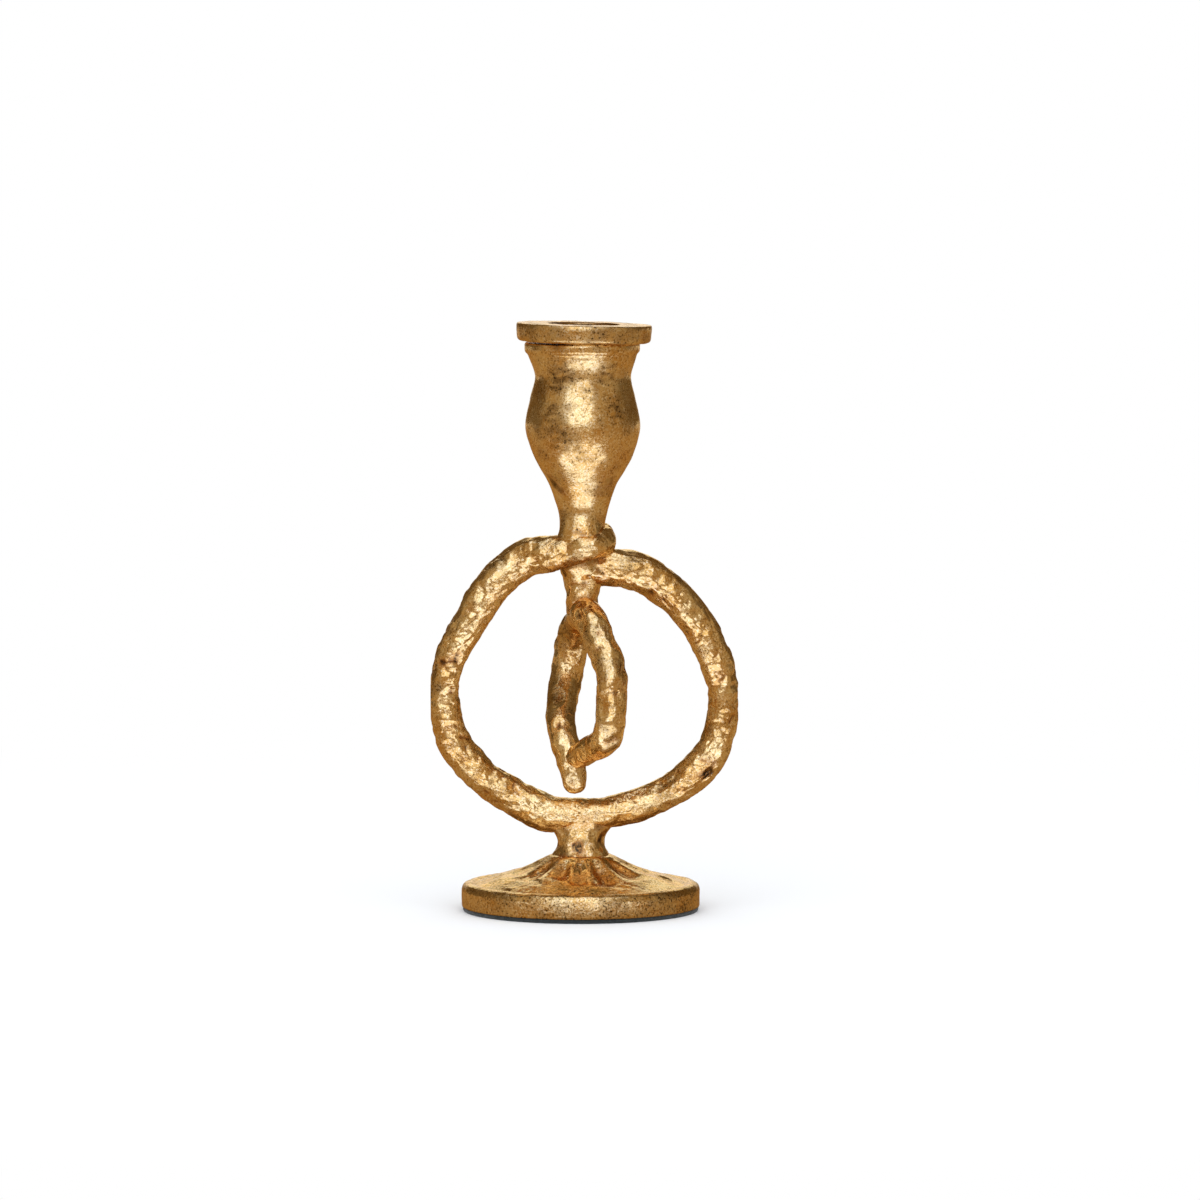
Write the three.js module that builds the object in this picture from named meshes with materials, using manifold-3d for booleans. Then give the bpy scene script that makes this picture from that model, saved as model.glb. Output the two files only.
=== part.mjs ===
// Taper candle holder: a lumpy hand-forged hoop on a round fluted foot, carrying a turned candle cup,
// with a smaller forged loop hanging inside the hoop.
// Millimetres, +Z up. The origin is the centre of the felt's underside, on the table.
// +X is to the right and +Y to the back, for someone who looks through the hoop.

import * as THREE from 'three';
import { mergeVertices } from 'three/addons/utils/BufferGeometryUtils.js';
import Module from 'manifold-3d';

const wasm = await Module();
wasm.setup();

// Fits
const BRAZE_GAP = 0.3; // between a coped or saddled face and the piece that it is brazed to
const HOLE_CLEARANCE = 0.3; // all round a screw or a stud, and past its end

// Felt pad and foot
const PAD_THICKNESS = 1.3;
const PAD_INSET = 0.6;
const FOOT_DIAMETER = 76;
const FOOT_RIM_HEIGHT = 7.6;
const FOOT_EDGE_ROUND = 2.6;
const FOOT_LIP_WIDTH = 1.2; // level ring between the rounded edge and the flare
const FOOT_FLARE_RISE = 9.1;
const FOOT_LEDGE = 1.4; // how far the crown of the foot stands out past the collar
const FOOT_WALL = 4.2;
const FOOT_SEAT_WIDTH = 10; // flat ring under the rim that the felt is glued to
const FLUTE_COUNT = 11;
const FLUTE_DEPTH = 1;

// Screw and washer that pull the foot and the collar up against the hoop
const SCREW_DIAMETER = 5;
const SCREW_HEAD_DIAMETER = 9;
const SCREW_HEAD_HEIGHT = 3.4;
const SCREW_BITE = 6; // length of thread in the hoop
const WASHER_DIAMETER = 12;
const WASHER_THICKNESS = 1;

// Collar between the foot and the hoop
const COLLAR_DIAMETER = 15.8;
const COLLAR_HEIGHT = 7;
const COLLAR_FLARE = 0.9; // extra radius at the top, where the collar spreads under the hoop
const COLLAR_SADDLE_DEPTH = 1.2; // how far the collar reaches up beside the hoop

// Hoop: a nominal circle of rod, and how the hammering strays from it
const HOOP_DIAMETER = 85;
const HOOP_ROD_DIAMETER = 10.4;
const HOOP_SHIFT = 1.75; // centre of the hoop, to the right of the foot's centre
const HOOP_SEAT = [268, -1.5, 0]; // where the collar carries the hoop
const HOOP_BENDS = [ // angle in degrees from +X, distance outside the circle, extra radius of the rod
  [114, 2.5, 0.5],
  [133, 1.2, 0.5],
  [150, -0.3, 0.1],
  [166, 1.2, -0.4],
  [184, 2.5, -0.7],
  [201, 2.9, 0],
  [218, 1.2, 0.2],
  [236, -0.5, 0.4],
  [252, -0.4, 0.6],
  HOOP_SEAT,
  [290, -1.5, -0.2],
  [308, 0, -0.2],
  [325, 1.9, 0.2],
  [338, 2.4, -0.3],
  [357, 1.1, -0.5],
  [376, -1, 0.1],
  [396, -2.3, 0.1],
  [414, -2.6, 0.5],
  [430, -2.9, 0.9],
];

// Wrap: the drawn-down left end of the hoop, curled round the foot of the cup
const WRAP_ROD_DIAMETER = 8.8;
const WRAP_REACH = 6.4; // from the cup's axis to the middle of the rod
const WRAP_LIFT = 1.8; // middle of the rod in front of the cup, above the hoop's circle
const WRAP_RISE = 6.6; // climb of the curl from the front left to its tip at the back
const WRAP_START = -125; // degrees from +X about the cup's axis
const WRAP_END = 120;
const WRAP_TIP_DIAMETER = 6.8;

const WRAP_BLEND = 0.5; // where the arm and the wrap are both full, from the last bend to the wrap's root

// Right end of the hoop, coped to the knuckle
const COPE_DIAMETER = 11.2;
const COPE_REACH = 2.4; // from the cup's axis to the end of the hoop's path, inside the knuckle
const COPE_RISE = 9.8; // middle of the rod, above the top of the inner loop

// Knuckle: the stub under the cup that the right end of the hoop and the inner loop are brazed to
const KNUCKLE_DIAMETER = 9.8;
const KNUCKLE_FLARE = 2.1; // extra radius at the top, under the cup
const KNUCKLE_DROP = 16.3; // from the middle of the wrap to the top of the inner loop
const KNUCKLE_SADDLE_DEPTH = 1.6; // how far the knuckle reaches down beside the inner loop
const KNUCKLE_FLOOR = 3.2; // metal between the stud and the inner loop

// Inner loop: an upright ring of rod, square to the hoop, whose lower ends meet side by side
const LOOP_DEPTH = 44;
const LOOP_ROD_DIAMETER = 9.4;
const LOOP_CLEARANCE = 1.7; // between the tail of the loop and the hoop under it
const LOOP_TAIL = [0, 0.1, -2.5, -1.2];
const LOOP_MEETING = [0.2, 0, -4.7, 0]; // where the front leg is welded to the back leg
const LOOP_CORNER = [0.325, 0.94, 7.5, -0.6]; // where the front leg turns back
const LOOP_BENDS = [ // share of the height, share of the depth to the front, sideways lean, extra radius
  LOOP_TAIL,
  [0.12, 0.06, -3.5, -0.3],
  LOOP_MEETING,
  [0.3, -0.13, -6.4, -0.1],
  [0.44, -0.5, -6.9, 0.1],
  [0.62, -0.93, -5.2, 0.4],
  [0.83, -0.85, -3.5, 0.4],
  [0.97, -0.4, -2, 0],
  [1, 0, 0.2, 0],
  [0.985, 0.38, 2.9, -0.1],
  [0.865, 0.7, 5.4, -0.1],
  [0.7, 0.9, 9.1, 0.3],
  [0.54, 0.98, 9.1, -0.1],
  [0.4, 1, 8.5, -0.1],
  LOOP_CORNER,
];
const LOOP_WELD_TURN = -33; // degrees from +X, from the back leg to the end of the front leg
const LOOP_WELD_REACH = 7.5; // from the middle of the back leg to the middle of that end
const LOOP_WELD_DROP = 0.7; // that end, below the meeting
const LOOP_END_DIAMETER = 8.6;

// Stud that holds the cup down on the wrap and the knuckle
const STUD_DIAMETER = 5;
const STUD_BITE = 11; // length of thread in the cup

// Candle cup
const CUP_SHIFT = 0.65; // axis of the cup, to the right of the foot's centre
const CUP_SINK = 2.1; // foot of the cup, below the middle of the wrap
const NECK_DIAMETER = 14;
const NECK_HEIGHT = 10.5;
const TAPER_HEIGHT = 30; // from the neck to the widest part of the cup
const BULGE_SWELL = 2.85; // the widest part, outside the throat
const BULGE_TO_THROAT = 15.8;
const THROAT_TO_LIP = 7.2;
const LIP_SWELL = 3.1; // the lip, outside the throat
const LIP_HEIGHT = 3.2;
const LIP_COVE = 0.65; // share of the lip's swell that the throat reaches under it
const CUP_TAPER = [[0, 0], [0.28, 0.345], [0.82, 0.715], [1, 1]]; // share of the way out and of the way up
const CUP_SHOULDER = [0.5, 0.42]; // between the throat and the widest part: share out and share down
const CUP_WALL = 4.1; // at the throat
const SOCKET_DIAMETER = 22.2;
const SOCKET_TAPER = 0.5; // how much narrower the floor of the socket is
const SOCKET_DEPTH = 26; // from the top of the rim

// Rim ring, which sits a little crooked on the cup
const RIM_DIAMETER = 43;
const RIM_HEIGHT = 5.9;
const RIM_DRAFT = 0.35; // how much the side leans in towards the bottom
const RIM_LOWER_ROUND = 1.7;
const RIM_UPPER_ROUND = 0.6;
const RIM_HOLE_RELIEF = 0.3; // the ring's hole, outside the mouth of the socket
const RIM_TILT = 1.4; // degrees, lower on the right
const RIM_SHIFT = 0.4; // to the right of the cup's axis

// Facets
const ROD_SIDES = 12;
const ROD_BLUNTNESS = 0.75; // width of a rod's flat end, against the rod
const TURNED_SIDES = 36;
const SCREW_SIDES = 20;
const FLUTE_SIDES = 6; // facets across one flute
const ARC_STEPS = 4; // facets round a quarter turn
const ROD_STEP = 4.2; // length of one facet along a rod

const { degToRad, lerp } = THREE.MathUtils;

// Heights, from the table up
const footTop = PAD_THICKNESS + FOOT_RIM_HEIGHT;
const footCrown = footTop + FOOT_FLARE_RISE;
const hoopUnderside = footCrown + COLLAR_HEIGHT;
const seatRadius = HOOP_ROD_DIAMETER / 2 + HOOP_SEAT[2];
const seatReach = HOOP_DIAMETER / 2 + HOOP_SEAT[1];
const hoopCentre = hoopUnderside + seatRadius - seatReach * Math.sin(degToRad(HOOP_SEAT[0]));
const wrapFront = hoopCentre + HOOP_DIAMETER / 2 + WRAP_LIFT;
const cupFoot = wrapFront - CUP_SINK;
const loopTop = wrapFront - KNUCKLE_DROP;
const loopBottom = hoopUnderside + 2 * seatRadius + LOOP_CLEARANCE;
const throat = cupFoot + NECK_HEIGHT + TAPER_HEIGHT + BULGE_TO_THROAT;
const rimFoot = throat + THROAT_TO_LIP + LIP_HEIGHT + BRAZE_GAP;
const socketFloor = rimFoot + RIM_HEIGHT - SOCKET_DEPTH;

const screwHoleRadius = SCREW_DIAMETER / 2 + HOLE_CLEARANCE;
const studHoleRadius = STUD_DIAMETER / 2 + HOLE_CLEARANCE;
const crownRadius = COLLAR_DIAMETER / 2 + FOOT_LEDGE;

// Materials
const goldLeaf = new THREE.MeshStandardMaterial({ color: 0xa98a52, roughness: 0.45, metalness: 0.85 });
const turnedGold = new THREE.MeshStandardMaterial({ color: 0x9f8450, roughness: 0.38, metalness: 0.85 });
const steel = new THREE.MeshStandardMaterial({ color: 0x8b8d90, roughness: 0.4, metalness: 0.9 });
const felt = new THREE.MeshStandardMaterial({ color: 0x14191a, roughness: 0.95, metalness: 0 });

// Solids and meshes

function toSolid(geometry) {
  const bare = geometry.clone();
  bare.deleteAttribute('normal');
  bare.deleteAttribute('uv');
  const welded = mergeVertices(bare);
  const corners = welded.index.array;
  const triVerts = [];
  for (let i = 0; i < corners.length; i += 3) {
    const triangle = [corners[i], corners[i + 1], corners[i + 2]];
    if (new Set(triangle).size === 3) {
      triVerts.push(...triangle);
    }
  }
  return new wasm.Manifold(new wasm.Mesh({
    numProp: 3,
    vertProperties: Float32Array.from(welded.attributes.position.array),
    triVerts: Uint32Array.from(triVerts),
  }));
}

function piece(name, solid, material) {
  const { vertProperties, triVerts } = solid.getMesh();
  const geometry = new THREE.BufferGeometry();
  geometry.setAttribute('position', new THREE.BufferAttribute(vertProperties, 3));
  geometry.setIndex(new THREE.BufferAttribute(triVerts, 1));
  geometry.computeVertexNormals();
  const mesh = new THREE.Mesh(geometry, material);
  mesh.name = name;
  return mesh;
}

// A profile of [radius, height] points turned about Z. It runs up the outside and down the inside.
function turned(profile, sides) {
  const points = profile.map(([radius, height]) => new THREE.Vector2(radius, height));
  return new THREE.LatheGeometry(points, sides).rotateX(Math.PI / 2);
}

function cylinder(radius, bottom, top, sides) {
  return turned([[0, bottom], [radius, bottom], [radius, top], [0, top]], sides);
}

// Points of a quarter round from one end to the other, with the corner that it rounds off.
function quarterRound([startR, startZ], [cornerR, cornerZ], [endR, endZ]) {
  const points = [];
  for (let i = 0; i <= ARC_STEPS; i++) {
    const angle = (i / ARC_STEPS) * (Math.PI / 2);
    const toStart = 1 - Math.sin(angle);
    const toEnd = 1 - Math.cos(angle);
    points.push([
      cornerR + (startR - cornerR) * toStart + (endR - cornerR) * toEnd,
      cornerZ + (startZ - cornerZ) * toStart + (endZ - cornerZ) * toEnd,
    ]);
  }
  return points;
}

// A hammered rod along a smooth path, with blunt ends. Each station is a point of the path and the
// radius of the rod there; grow makes the same rod fatter, as a cutter for the pieces round it.
function forgedRod(stations, grow = 0) {
  const path = new THREE.CatmullRomCurve3(stations.map((station) => station.point));
  const girth = new THREE.SplineCurve(
    stations.map((station, i) => new THREE.Vector2(i, station.radius + grow)),
  );
  const steps = Math.ceil(path.getLength() / ROD_STEP);
  const { tangents, normals, binormals } = path.computeFrenetFrames(steps, false);
  const radiusAt = (along) => girth.getPoint(path.getUtoTmapping(along)).y;
  const vertices = [];
  const triangles = [];

  for (let i = 0; i <= steps; i++) {
    const centre = path.getPointAt(i / steps);
    const radius = radiusAt(i / steps) * (i === 0 || i === steps ? ROD_BLUNTNESS : 1);
    for (let j = 0; j < ROD_SIDES; j++) {
      const angle = (j / ROD_SIDES) * 2 * Math.PI;
      const vertex = centre.clone();
      vertex.addScaledVector(normals[i], radius * Math.cos(angle));
      vertex.addScaledVector(binormals[i], radius * Math.sin(angle));
      vertices.push(vertex);
    }
  }
  for (let i = 0; i < steps; i++) {
    for (let j = 0; j < ROD_SIDES; j++) {
      const near = i * ROD_SIDES;
      const far = near + ROD_SIDES;
      const next = (j + 1) % ROD_SIDES;
      triangles.push(near + j, near + next, far + j);
      triangles.push(near + next, far + next, far + j);
    }
  }

  const startTip = vertices.length;
  const endTip = startTip + 1;
  const lastRing = steps * ROD_SIDES;
  const bulge = 1 - ROD_BLUNTNESS;
  vertices.push(path.getPointAt(0).addScaledVector(tangents[0], -bulge * radiusAt(0)));
  vertices.push(path.getPointAt(1).addScaledVector(tangents[steps], bulge * radiusAt(1)));
  for (let j = 0; j < ROD_SIDES; j++) {
    const next = (j + 1) % ROD_SIDES;
    triangles.push(startTip, next, j);
    triangles.push(endTip, lastRing + j, lastRing + next);
  }
  return new THREE.BufferGeometry().setFromPoints(vertices).setIndex(triangles);
}

// Foot and felt

// The top of the foot sweeps down from the crown in a parabola that runs out level at the rim.
function flareCurve(drop) {
  const outer = FOOT_DIAMETER / 2 - FOOT_EDGE_ROUND - FOOT_LIP_WIDTH;
  return new THREE.QuadraticBezierCurve(
    new THREE.Vector2(crownRadius, footCrown - drop),
    new THREE.Vector2((crownRadius + outer) / 2, footTop - drop),
    new THREE.Vector2(outer, footTop - drop),
  );
}

function footGeometry() {
  const rim = FOOT_DIAMETER / 2;
  const seat = rim - FOOT_SEAT_WIDTH;
  const flareSteps = 9;
  const flare = flareCurve(0).getPoints(flareSteps).map(({ x, y }) => [x, y]);
  const roof = flareCurve(FOOT_WALL).getPoints(flareSteps).map(({ x, y }) => [x, y]);
  const edge = quarterRound(
    [rim, footTop - FOOT_EDGE_ROUND],
    [rim, footTop],
    [rim - FOOT_EDGE_ROUND, footTop],
  );
  const recess = roof.filter(([radius]) => radius < seat);
  const start = [seat, PAD_THICKNESS];
  const geometry = turned([
    start,
    [rim - PAD_INSET, PAD_THICKNESS],
    [rim, PAD_THICKNESS + PAD_INSET],
    ...edge,
    ...flare.reverse(),
    [screwHoleRadius, footCrown],
    [screwHoleRadius, footCrown - FOOT_WALL],
    ...recess,
    [seat, recess.at(-1)[1]],
    start,
  ], FLUTE_COUNT * FLUTE_SIDES);
  return pressFlutes(geometry);
}

// Hammered flutes run down the flare: deepest half way out, and gone at the crown and at the rim.
function pressFlutes(geometry) {
  const outer = FOOT_DIAMETER / 2 - FOOT_EDGE_ROUND - FOOT_LIP_WIDTH;
  const position = geometry.attributes.position;
  for (let i = 0; i < position.count; i++) {
    const radius = Math.hypot(position.getX(i), position.getY(i));
    const across = (radius - crownRadius) / (outer - crownRadius);
    const flareHeight = footTop + FOOT_FLARE_RISE * (1 - across) ** 2;
    const onFlare = across > 0 && across < 1 && Math.abs(position.getZ(i) - flareHeight) < FOOT_WALL / 2;
    if (onFlare) {
      const turn = Math.atan2(position.getY(i), position.getX(i));
      const valley = 0.5 - 0.5 * Math.cos(FLUTE_COUNT * turn);
      position.setZ(i, position.getZ(i) - FLUTE_DEPTH * valley * Math.sin(Math.PI * across));
    }
  }
  return geometry;
}

const foot = toSolid(footGeometry());
const pad = toSolid(cylinder(FOOT_DIAMETER / 2 - PAD_INSET, 0, PAD_THICKNESS, FLUTE_COUNT * FLUTE_SIDES));

// Screw and washer, in the hollow under the foot

const washerTop = footCrown - FOOT_WALL;
const headTop = washerTop - WASHER_THICKNESS;
const headFoot = headTop - SCREW_HEAD_HEIGHT;
const screwTop = hoopUnderside + SCREW_BITE;

const washerHole = [screwHoleRadius, headTop];
const washer = toSolid(turned([
  washerHole,
  [WASHER_DIAMETER / 2, headTop],
  [WASHER_DIAMETER / 2, washerTop],
  [screwHoleRadius, washerTop],
  washerHole,
], SCREW_SIDES));

const screw = toSolid(turned([
  [0, headFoot],
  ...quarterRound(
    [SCREW_HEAD_DIAMETER / 2 - SCREW_HEAD_HEIGHT / 2, headFoot],
    [SCREW_HEAD_DIAMETER / 2, headFoot],
    [SCREW_HEAD_DIAMETER / 2, headFoot + SCREW_HEAD_HEIGHT / 2],
  ),
  [SCREW_HEAD_DIAMETER / 2, headTop],
  [SCREW_DIAMETER / 2, headTop],
  [SCREW_DIAMETER / 2, screwTop],
  [0, screwTop],
], SCREW_SIDES));

const screwHole = toSolid(cylinder(screwHoleRadius, 0, screwTop + HOLE_CLEARANCE, SCREW_SIDES));

// Hoop and wrap

function hoopStation([degrees, bend, swell]) {
  const angle = degToRad(degrees);
  const reach = HOOP_DIAMETER / 2 + bend;
  return {
    point: new THREE.Vector3(HOOP_SHIFT + reach * Math.cos(angle), 0, hoopCentre + reach * Math.sin(angle)),
    radius: HOOP_ROD_DIAMETER / 2 + swell,
  };
}

// The curl climbs round the cup's axis from the front left, by the front and the right, to the back.
function wrapStation(share) {
  const angle = degToRad(lerp(WRAP_START, WRAP_END, share));
  const frontShare = (-90 - WRAP_START) / (WRAP_END - WRAP_START);
  return {
    point: new THREE.Vector3(
      CUP_SHIFT + WRAP_REACH * Math.cos(angle),
      WRAP_REACH * Math.sin(angle),
      wrapFront + WRAP_RISE * (share - frontShare),
    ),
    radius: lerp(WRAP_ROD_DIAMETER, WRAP_TIP_DIAMETER, share ** 3) / 2,
  };
}

// The left arm thins out inside the root of the wrap, so that the two run into each other. The right
// arm ends in the knuckle.
const leftArm = hoopStation(HOOP_BENDS[0]);
const wrapRoot = wrapStation(0);
const overlap = (share, radius) => ({ point: leftArm.point.clone().lerp(wrapRoot.point, share), radius });
const thinEnd = WRAP_TIP_DIAMETER / 2;
const rightEnd = {
  point: new THREE.Vector3(CUP_SHIFT + COPE_REACH, 0, loopTop + COPE_RISE),
  radius: COPE_DIAMETER / 2,
};
const hoopStations = [
  overlap(1, thinEnd),
  overlap(WRAP_BLEND, leftArm.radius),
  ...HOOP_BENDS.map(hoopStation),
  rightEnd,
];

const wrapSteps = 8;
const wrapStations = [overlap(WRAP_BLEND / 2, thinEnd), overlap(WRAP_BLEND, WRAP_ROD_DIAMETER / 2)];
for (let i = 0; i <= wrapSteps; i++) {
  wrapStations.push(wrapStation(i / wrapSteps));
}

const wrapCutter = toSolid(forgedRod(wrapStations, BRAZE_GAP));
const hoopCutter = toSolid(forgedRod(hoopStations, BRAZE_GAP)).add(wrapCutter);

// The knuckle is a short stub that flares up towards the foot of the cup.
function knuckleBlank(grow) {
  const radius = KNUCKLE_DIAMETER / 2 + grow;
  const bottom = loopTop - KNUCKLE_SADDLE_DEPTH - grow;
  const top = cupFoot - BRAZE_GAP + grow;
  return toSolid(turned([
    [0, bottom],
    [radius, bottom],
    [radius, loopTop + KNUCKLE_FLOOR],
    [radius + KNUCKLE_FLARE, top],
    [0, top],
  ], TURNED_SIDES)).translate([CUP_SHIFT, 0, 0]);
}

const studHole = toSolid(cylinder(
  studHoleRadius,
  loopTop + KNUCKLE_FLOOR - HOLE_CLEARANCE,
  cupFoot + STUD_BITE + HOLE_CLEARANCE,
  SCREW_SIDES,
)).translate([CUP_SHIFT, 0, 0]);

const hoop = toSolid(forgedRod(hoopStations))
  .subtract(knuckleBlank(BRAZE_GAP))
  .add(toSolid(forgedRod(wrapStations)))
  .subtract(studHole)
  .subtract(screwHole);

// Collar, saddled to the hoop

const collarTop = hoopUnderside + COLLAR_SADDLE_DEPTH;
const collarHole = [screwHoleRadius, footCrown];
const collar = toSolid(turned([
  collarHole,
  ...quarterRound(
    [COLLAR_DIAMETER / 2, footCrown],
    [COLLAR_DIAMETER / 2, collarTop],
    [COLLAR_DIAMETER / 2 + COLLAR_FLARE, collarTop],
  ),
  [screwHoleRadius, collarTop],
  collarHole,
], TURNED_SIDES)).subtract(hoopCutter);

// Inner loop and knuckle

const loopRadius = LOOP_ROD_DIAMETER / 2;
const loopHigh = loopTop - loopRadius;
const loopLow = loopBottom + (1 - ROD_BLUNTNESS) * (loopRadius + LOOP_TAIL[3]);

function loopStation([rise, forward, lean, swell]) {
  return {
    point: new THREE.Vector3(CUP_SHIFT + lean, -forward * (LOOP_DEPTH / 2), lerp(loopLow, loopHigh, rise)),
    radius: loopRadius + swell,
  };
}

// The front leg turns back at its corner, and its end is welded to the side of the back leg. The turned
// end is a second rod, whose root lies inside the leg.
const corner = loopStation(LOOP_CORNER).point;
const legAboveCorner = loopStation(LOOP_BENDS.at(-2)).point;
const weldTurn = degToRad(LOOP_WELD_TURN);
const weld = loopStation(LOOP_MEETING).point.add(new THREE.Vector3(
  LOOP_WELD_REACH * Math.cos(weldTurn),
  LOOP_WELD_REACH * Math.sin(weldTurn),
  -LOOP_WELD_DROP,
));
const halfWay = corner.clone().lerp(weld, 0.5);
const buried = loopRadius * ROD_BLUNTNESS;

const loopStations = [...LOOP_BENDS.map(loopStation), { point: halfWay, radius: buried }];
const turnedEnd = [
  { point: legAboveCorner, radius: buried },
  { point: corner, radius: loopRadius },
  { point: halfWay, radius: loopRadius },
  { point: weld, radius: LOOP_END_DIAMETER / 2 },
];
const loop = toSolid(forgedRod(loopStations)).add(toSolid(forgedRod(turnedEnd)));
const loopCutter = toSolid(forgedRod(loopStations, BRAZE_GAP));

const knuckle = knuckleBlank(0).subtract(wrapCutter).subtract(loopCutter).subtract(studHole);

const stud = toSolid(cylinder(
  STUD_DIAMETER / 2,
  loopTop + KNUCKLE_FLOOR,
  cupFoot + STUD_BITE,
  SCREW_SIDES,
)).translate([CUP_SHIFT, 0, 0]);

// Candle cup

const mouthRadius = SOCKET_DIAMETER / 2;
const throatRadius = mouthRadius + CUP_WALL;
const bulgeRadius = throatRadius + BULGE_SWELL;
const lipRadius = throatRadius + LIP_SWELL;
const neckRadius = NECK_DIAMETER / 2;
const neckTop = cupFoot + NECK_HEIGHT;
const lipFoot = throat + THROAT_TO_LIP;

// From the neck the side tapers out almost straight, rounds the shoulder and draws in to the throat.
function cupSide() {
  const [shoulderOut, shoulderDown] = CUP_SHOULDER;
  const side = new THREE.SplineCurve([
    ...CUP_TAPER.map(([out, up]) => new THREE.Vector2(
      lerp(neckRadius, bulgeRadius, out),
      neckTop + TAPER_HEIGHT * up,
    )),
    new THREE.Vector2(throatRadius + BULGE_SWELL * shoulderOut, throat - BULGE_TO_THROAT * shoulderDown),
    new THREE.Vector2(throatRadius, throat),
    new THREE.Vector2(throatRadius + LIP_SWELL * LIP_COVE, lipFoot),
  ]);
  const sideSteps = 20;
  return side.getPoints(sideSteps).map(({ x, y }) => [x, y]);
}

const rimMatrix = new THREE.Matrix4()
  .makeRotationY(degToRad(RIM_TILT))
  .setPosition(CUP_SHIFT + RIM_SHIFT, 0, rimFoot);

// The cup's top is faced off parallel to the crooked rim that sits on it.
const facingRadius = lipRadius + RIM_DIAMETER;
const facing = toSolid(
  cylinder(facingRadius, -BRAZE_GAP, RIM_HEIGHT, TURNED_SIDES).applyMatrix4(rimMatrix),
);

const cup = toSolid(turned([
  [0, cupFoot + STUD_BITE + HOLE_CLEARANCE],
  [studHoleRadius, cupFoot + STUD_BITE + HOLE_CLEARANCE],
  [studHoleRadius, cupFoot],
  [neckRadius, cupFoot],
  ...cupSide(),
  ...quarterRound([lipRadius, lipFoot], [lipRadius, rimFoot], [lipRadius - BRAZE_GAP, rimFoot]),
  [lipRadius - BRAZE_GAP, rimFoot + BRAZE_GAP],
  [mouthRadius, rimFoot + BRAZE_GAP],
  [mouthRadius - SOCKET_TAPER, socketFloor],
  [0, socketFloor],
], TURNED_SIDES)).translate([CUP_SHIFT, 0, 0]).subtract(hoopCutter).subtract(facing);

// Rim ring, drawn about its own axis with its underside at zero

const rimRadius = RIM_DIAMETER / 2;
const rimFootRadius = rimRadius - RIM_DRAFT;
const rimHole = mouthRadius + RIM_HOLE_RELIEF;
const rimHoleFoot = [rimHole, 0];
const rim = piece('rim_ring', toSolid(turned([
  rimHoleFoot,
  ...quarterRound(
    [rimFootRadius - RIM_LOWER_ROUND, 0],
    [rimFootRadius, 0],
    [rimFootRadius, RIM_LOWER_ROUND],
  ),
  ...quarterRound(
    [rimRadius, RIM_HEIGHT - RIM_UPPER_ROUND],
    [rimRadius, RIM_HEIGHT],
    [rimRadius - RIM_UPPER_ROUND, RIM_HEIGHT],
  ),
  [rimHole + RIM_UPPER_ROUND, RIM_HEIGHT],
  [rimHole, RIM_HEIGHT - RIM_UPPER_ROUND],
  rimHoleFoot,
], TURNED_SIDES)), turnedGold);
rim.applyMatrix4(rimMatrix);

// Assembly

const base = new THREE.Group();
base.add(
  piece('felt_pad', pad, felt),
  piece('foot', foot, goldLeaf),
  piece('foot_washer', washer, steel),
  piece('foot_screw', screw, steel),
  piece('collar', collar, goldLeaf),
);

const forging = new THREE.Group();
forging.add(
  piece('hoop', hoop, goldLeaf),
  piece('knuckle', knuckle, goldLeaf),
  piece('inner_loop', loop, goldLeaf),
);

const holder = new THREE.Group();
holder.add(
  piece('cup_stud', stud, steel),
  piece('candle_cup', cup, turnedGold),
  rim,
);

const candleHolder = new THREE.Group();
candleHolder.add(base, forging, holder);

export default candleHolder;
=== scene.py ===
# %% [markdown]
# A taper candle holder in antique gold leaf.
# The real one is an iron rod hammered into a rough hoop. One end of the rod curls round the neck of a
# turned cup, a smaller loop hangs inside the hoop, and a round foot with hammered dents carries it all.
# The solids come in as a fixed frame. They could be dressed as they are, but hammer marks, pits and worn
# leaf are too small for them, so every piece that shows is remade as a fine surface in the same place.
# Pieces are worked out in millimetres. Floor, lights and camera are placed in metres.

# %% Load the frame
import math
from types import SimpleNamespace

import bpy
import numpy as np
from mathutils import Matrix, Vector


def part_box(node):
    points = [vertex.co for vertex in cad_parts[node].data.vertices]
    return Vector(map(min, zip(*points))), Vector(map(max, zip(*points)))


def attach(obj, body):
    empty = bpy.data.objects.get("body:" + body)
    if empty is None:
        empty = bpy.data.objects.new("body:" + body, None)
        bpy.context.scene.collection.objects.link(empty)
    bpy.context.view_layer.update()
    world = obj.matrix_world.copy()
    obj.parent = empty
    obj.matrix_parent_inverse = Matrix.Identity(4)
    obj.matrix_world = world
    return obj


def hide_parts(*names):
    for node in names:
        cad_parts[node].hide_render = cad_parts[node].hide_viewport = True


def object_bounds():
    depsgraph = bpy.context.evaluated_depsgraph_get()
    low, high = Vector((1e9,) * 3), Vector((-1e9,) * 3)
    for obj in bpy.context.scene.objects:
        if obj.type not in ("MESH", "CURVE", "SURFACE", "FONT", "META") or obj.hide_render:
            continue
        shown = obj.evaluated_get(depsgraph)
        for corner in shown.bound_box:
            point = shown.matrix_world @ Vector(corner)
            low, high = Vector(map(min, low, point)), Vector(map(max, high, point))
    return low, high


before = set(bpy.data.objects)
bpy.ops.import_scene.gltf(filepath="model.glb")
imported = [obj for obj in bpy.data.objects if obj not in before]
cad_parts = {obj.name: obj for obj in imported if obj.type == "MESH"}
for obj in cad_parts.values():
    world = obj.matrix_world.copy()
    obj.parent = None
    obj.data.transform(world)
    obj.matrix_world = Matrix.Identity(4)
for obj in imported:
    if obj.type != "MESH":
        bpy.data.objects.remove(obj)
cad_low, cad_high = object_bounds()
MM = 0.001
print("frame:", len(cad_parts), "nodes, box in mm:", [round(v / MM, 1) for v in cad_high - cad_low])

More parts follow.
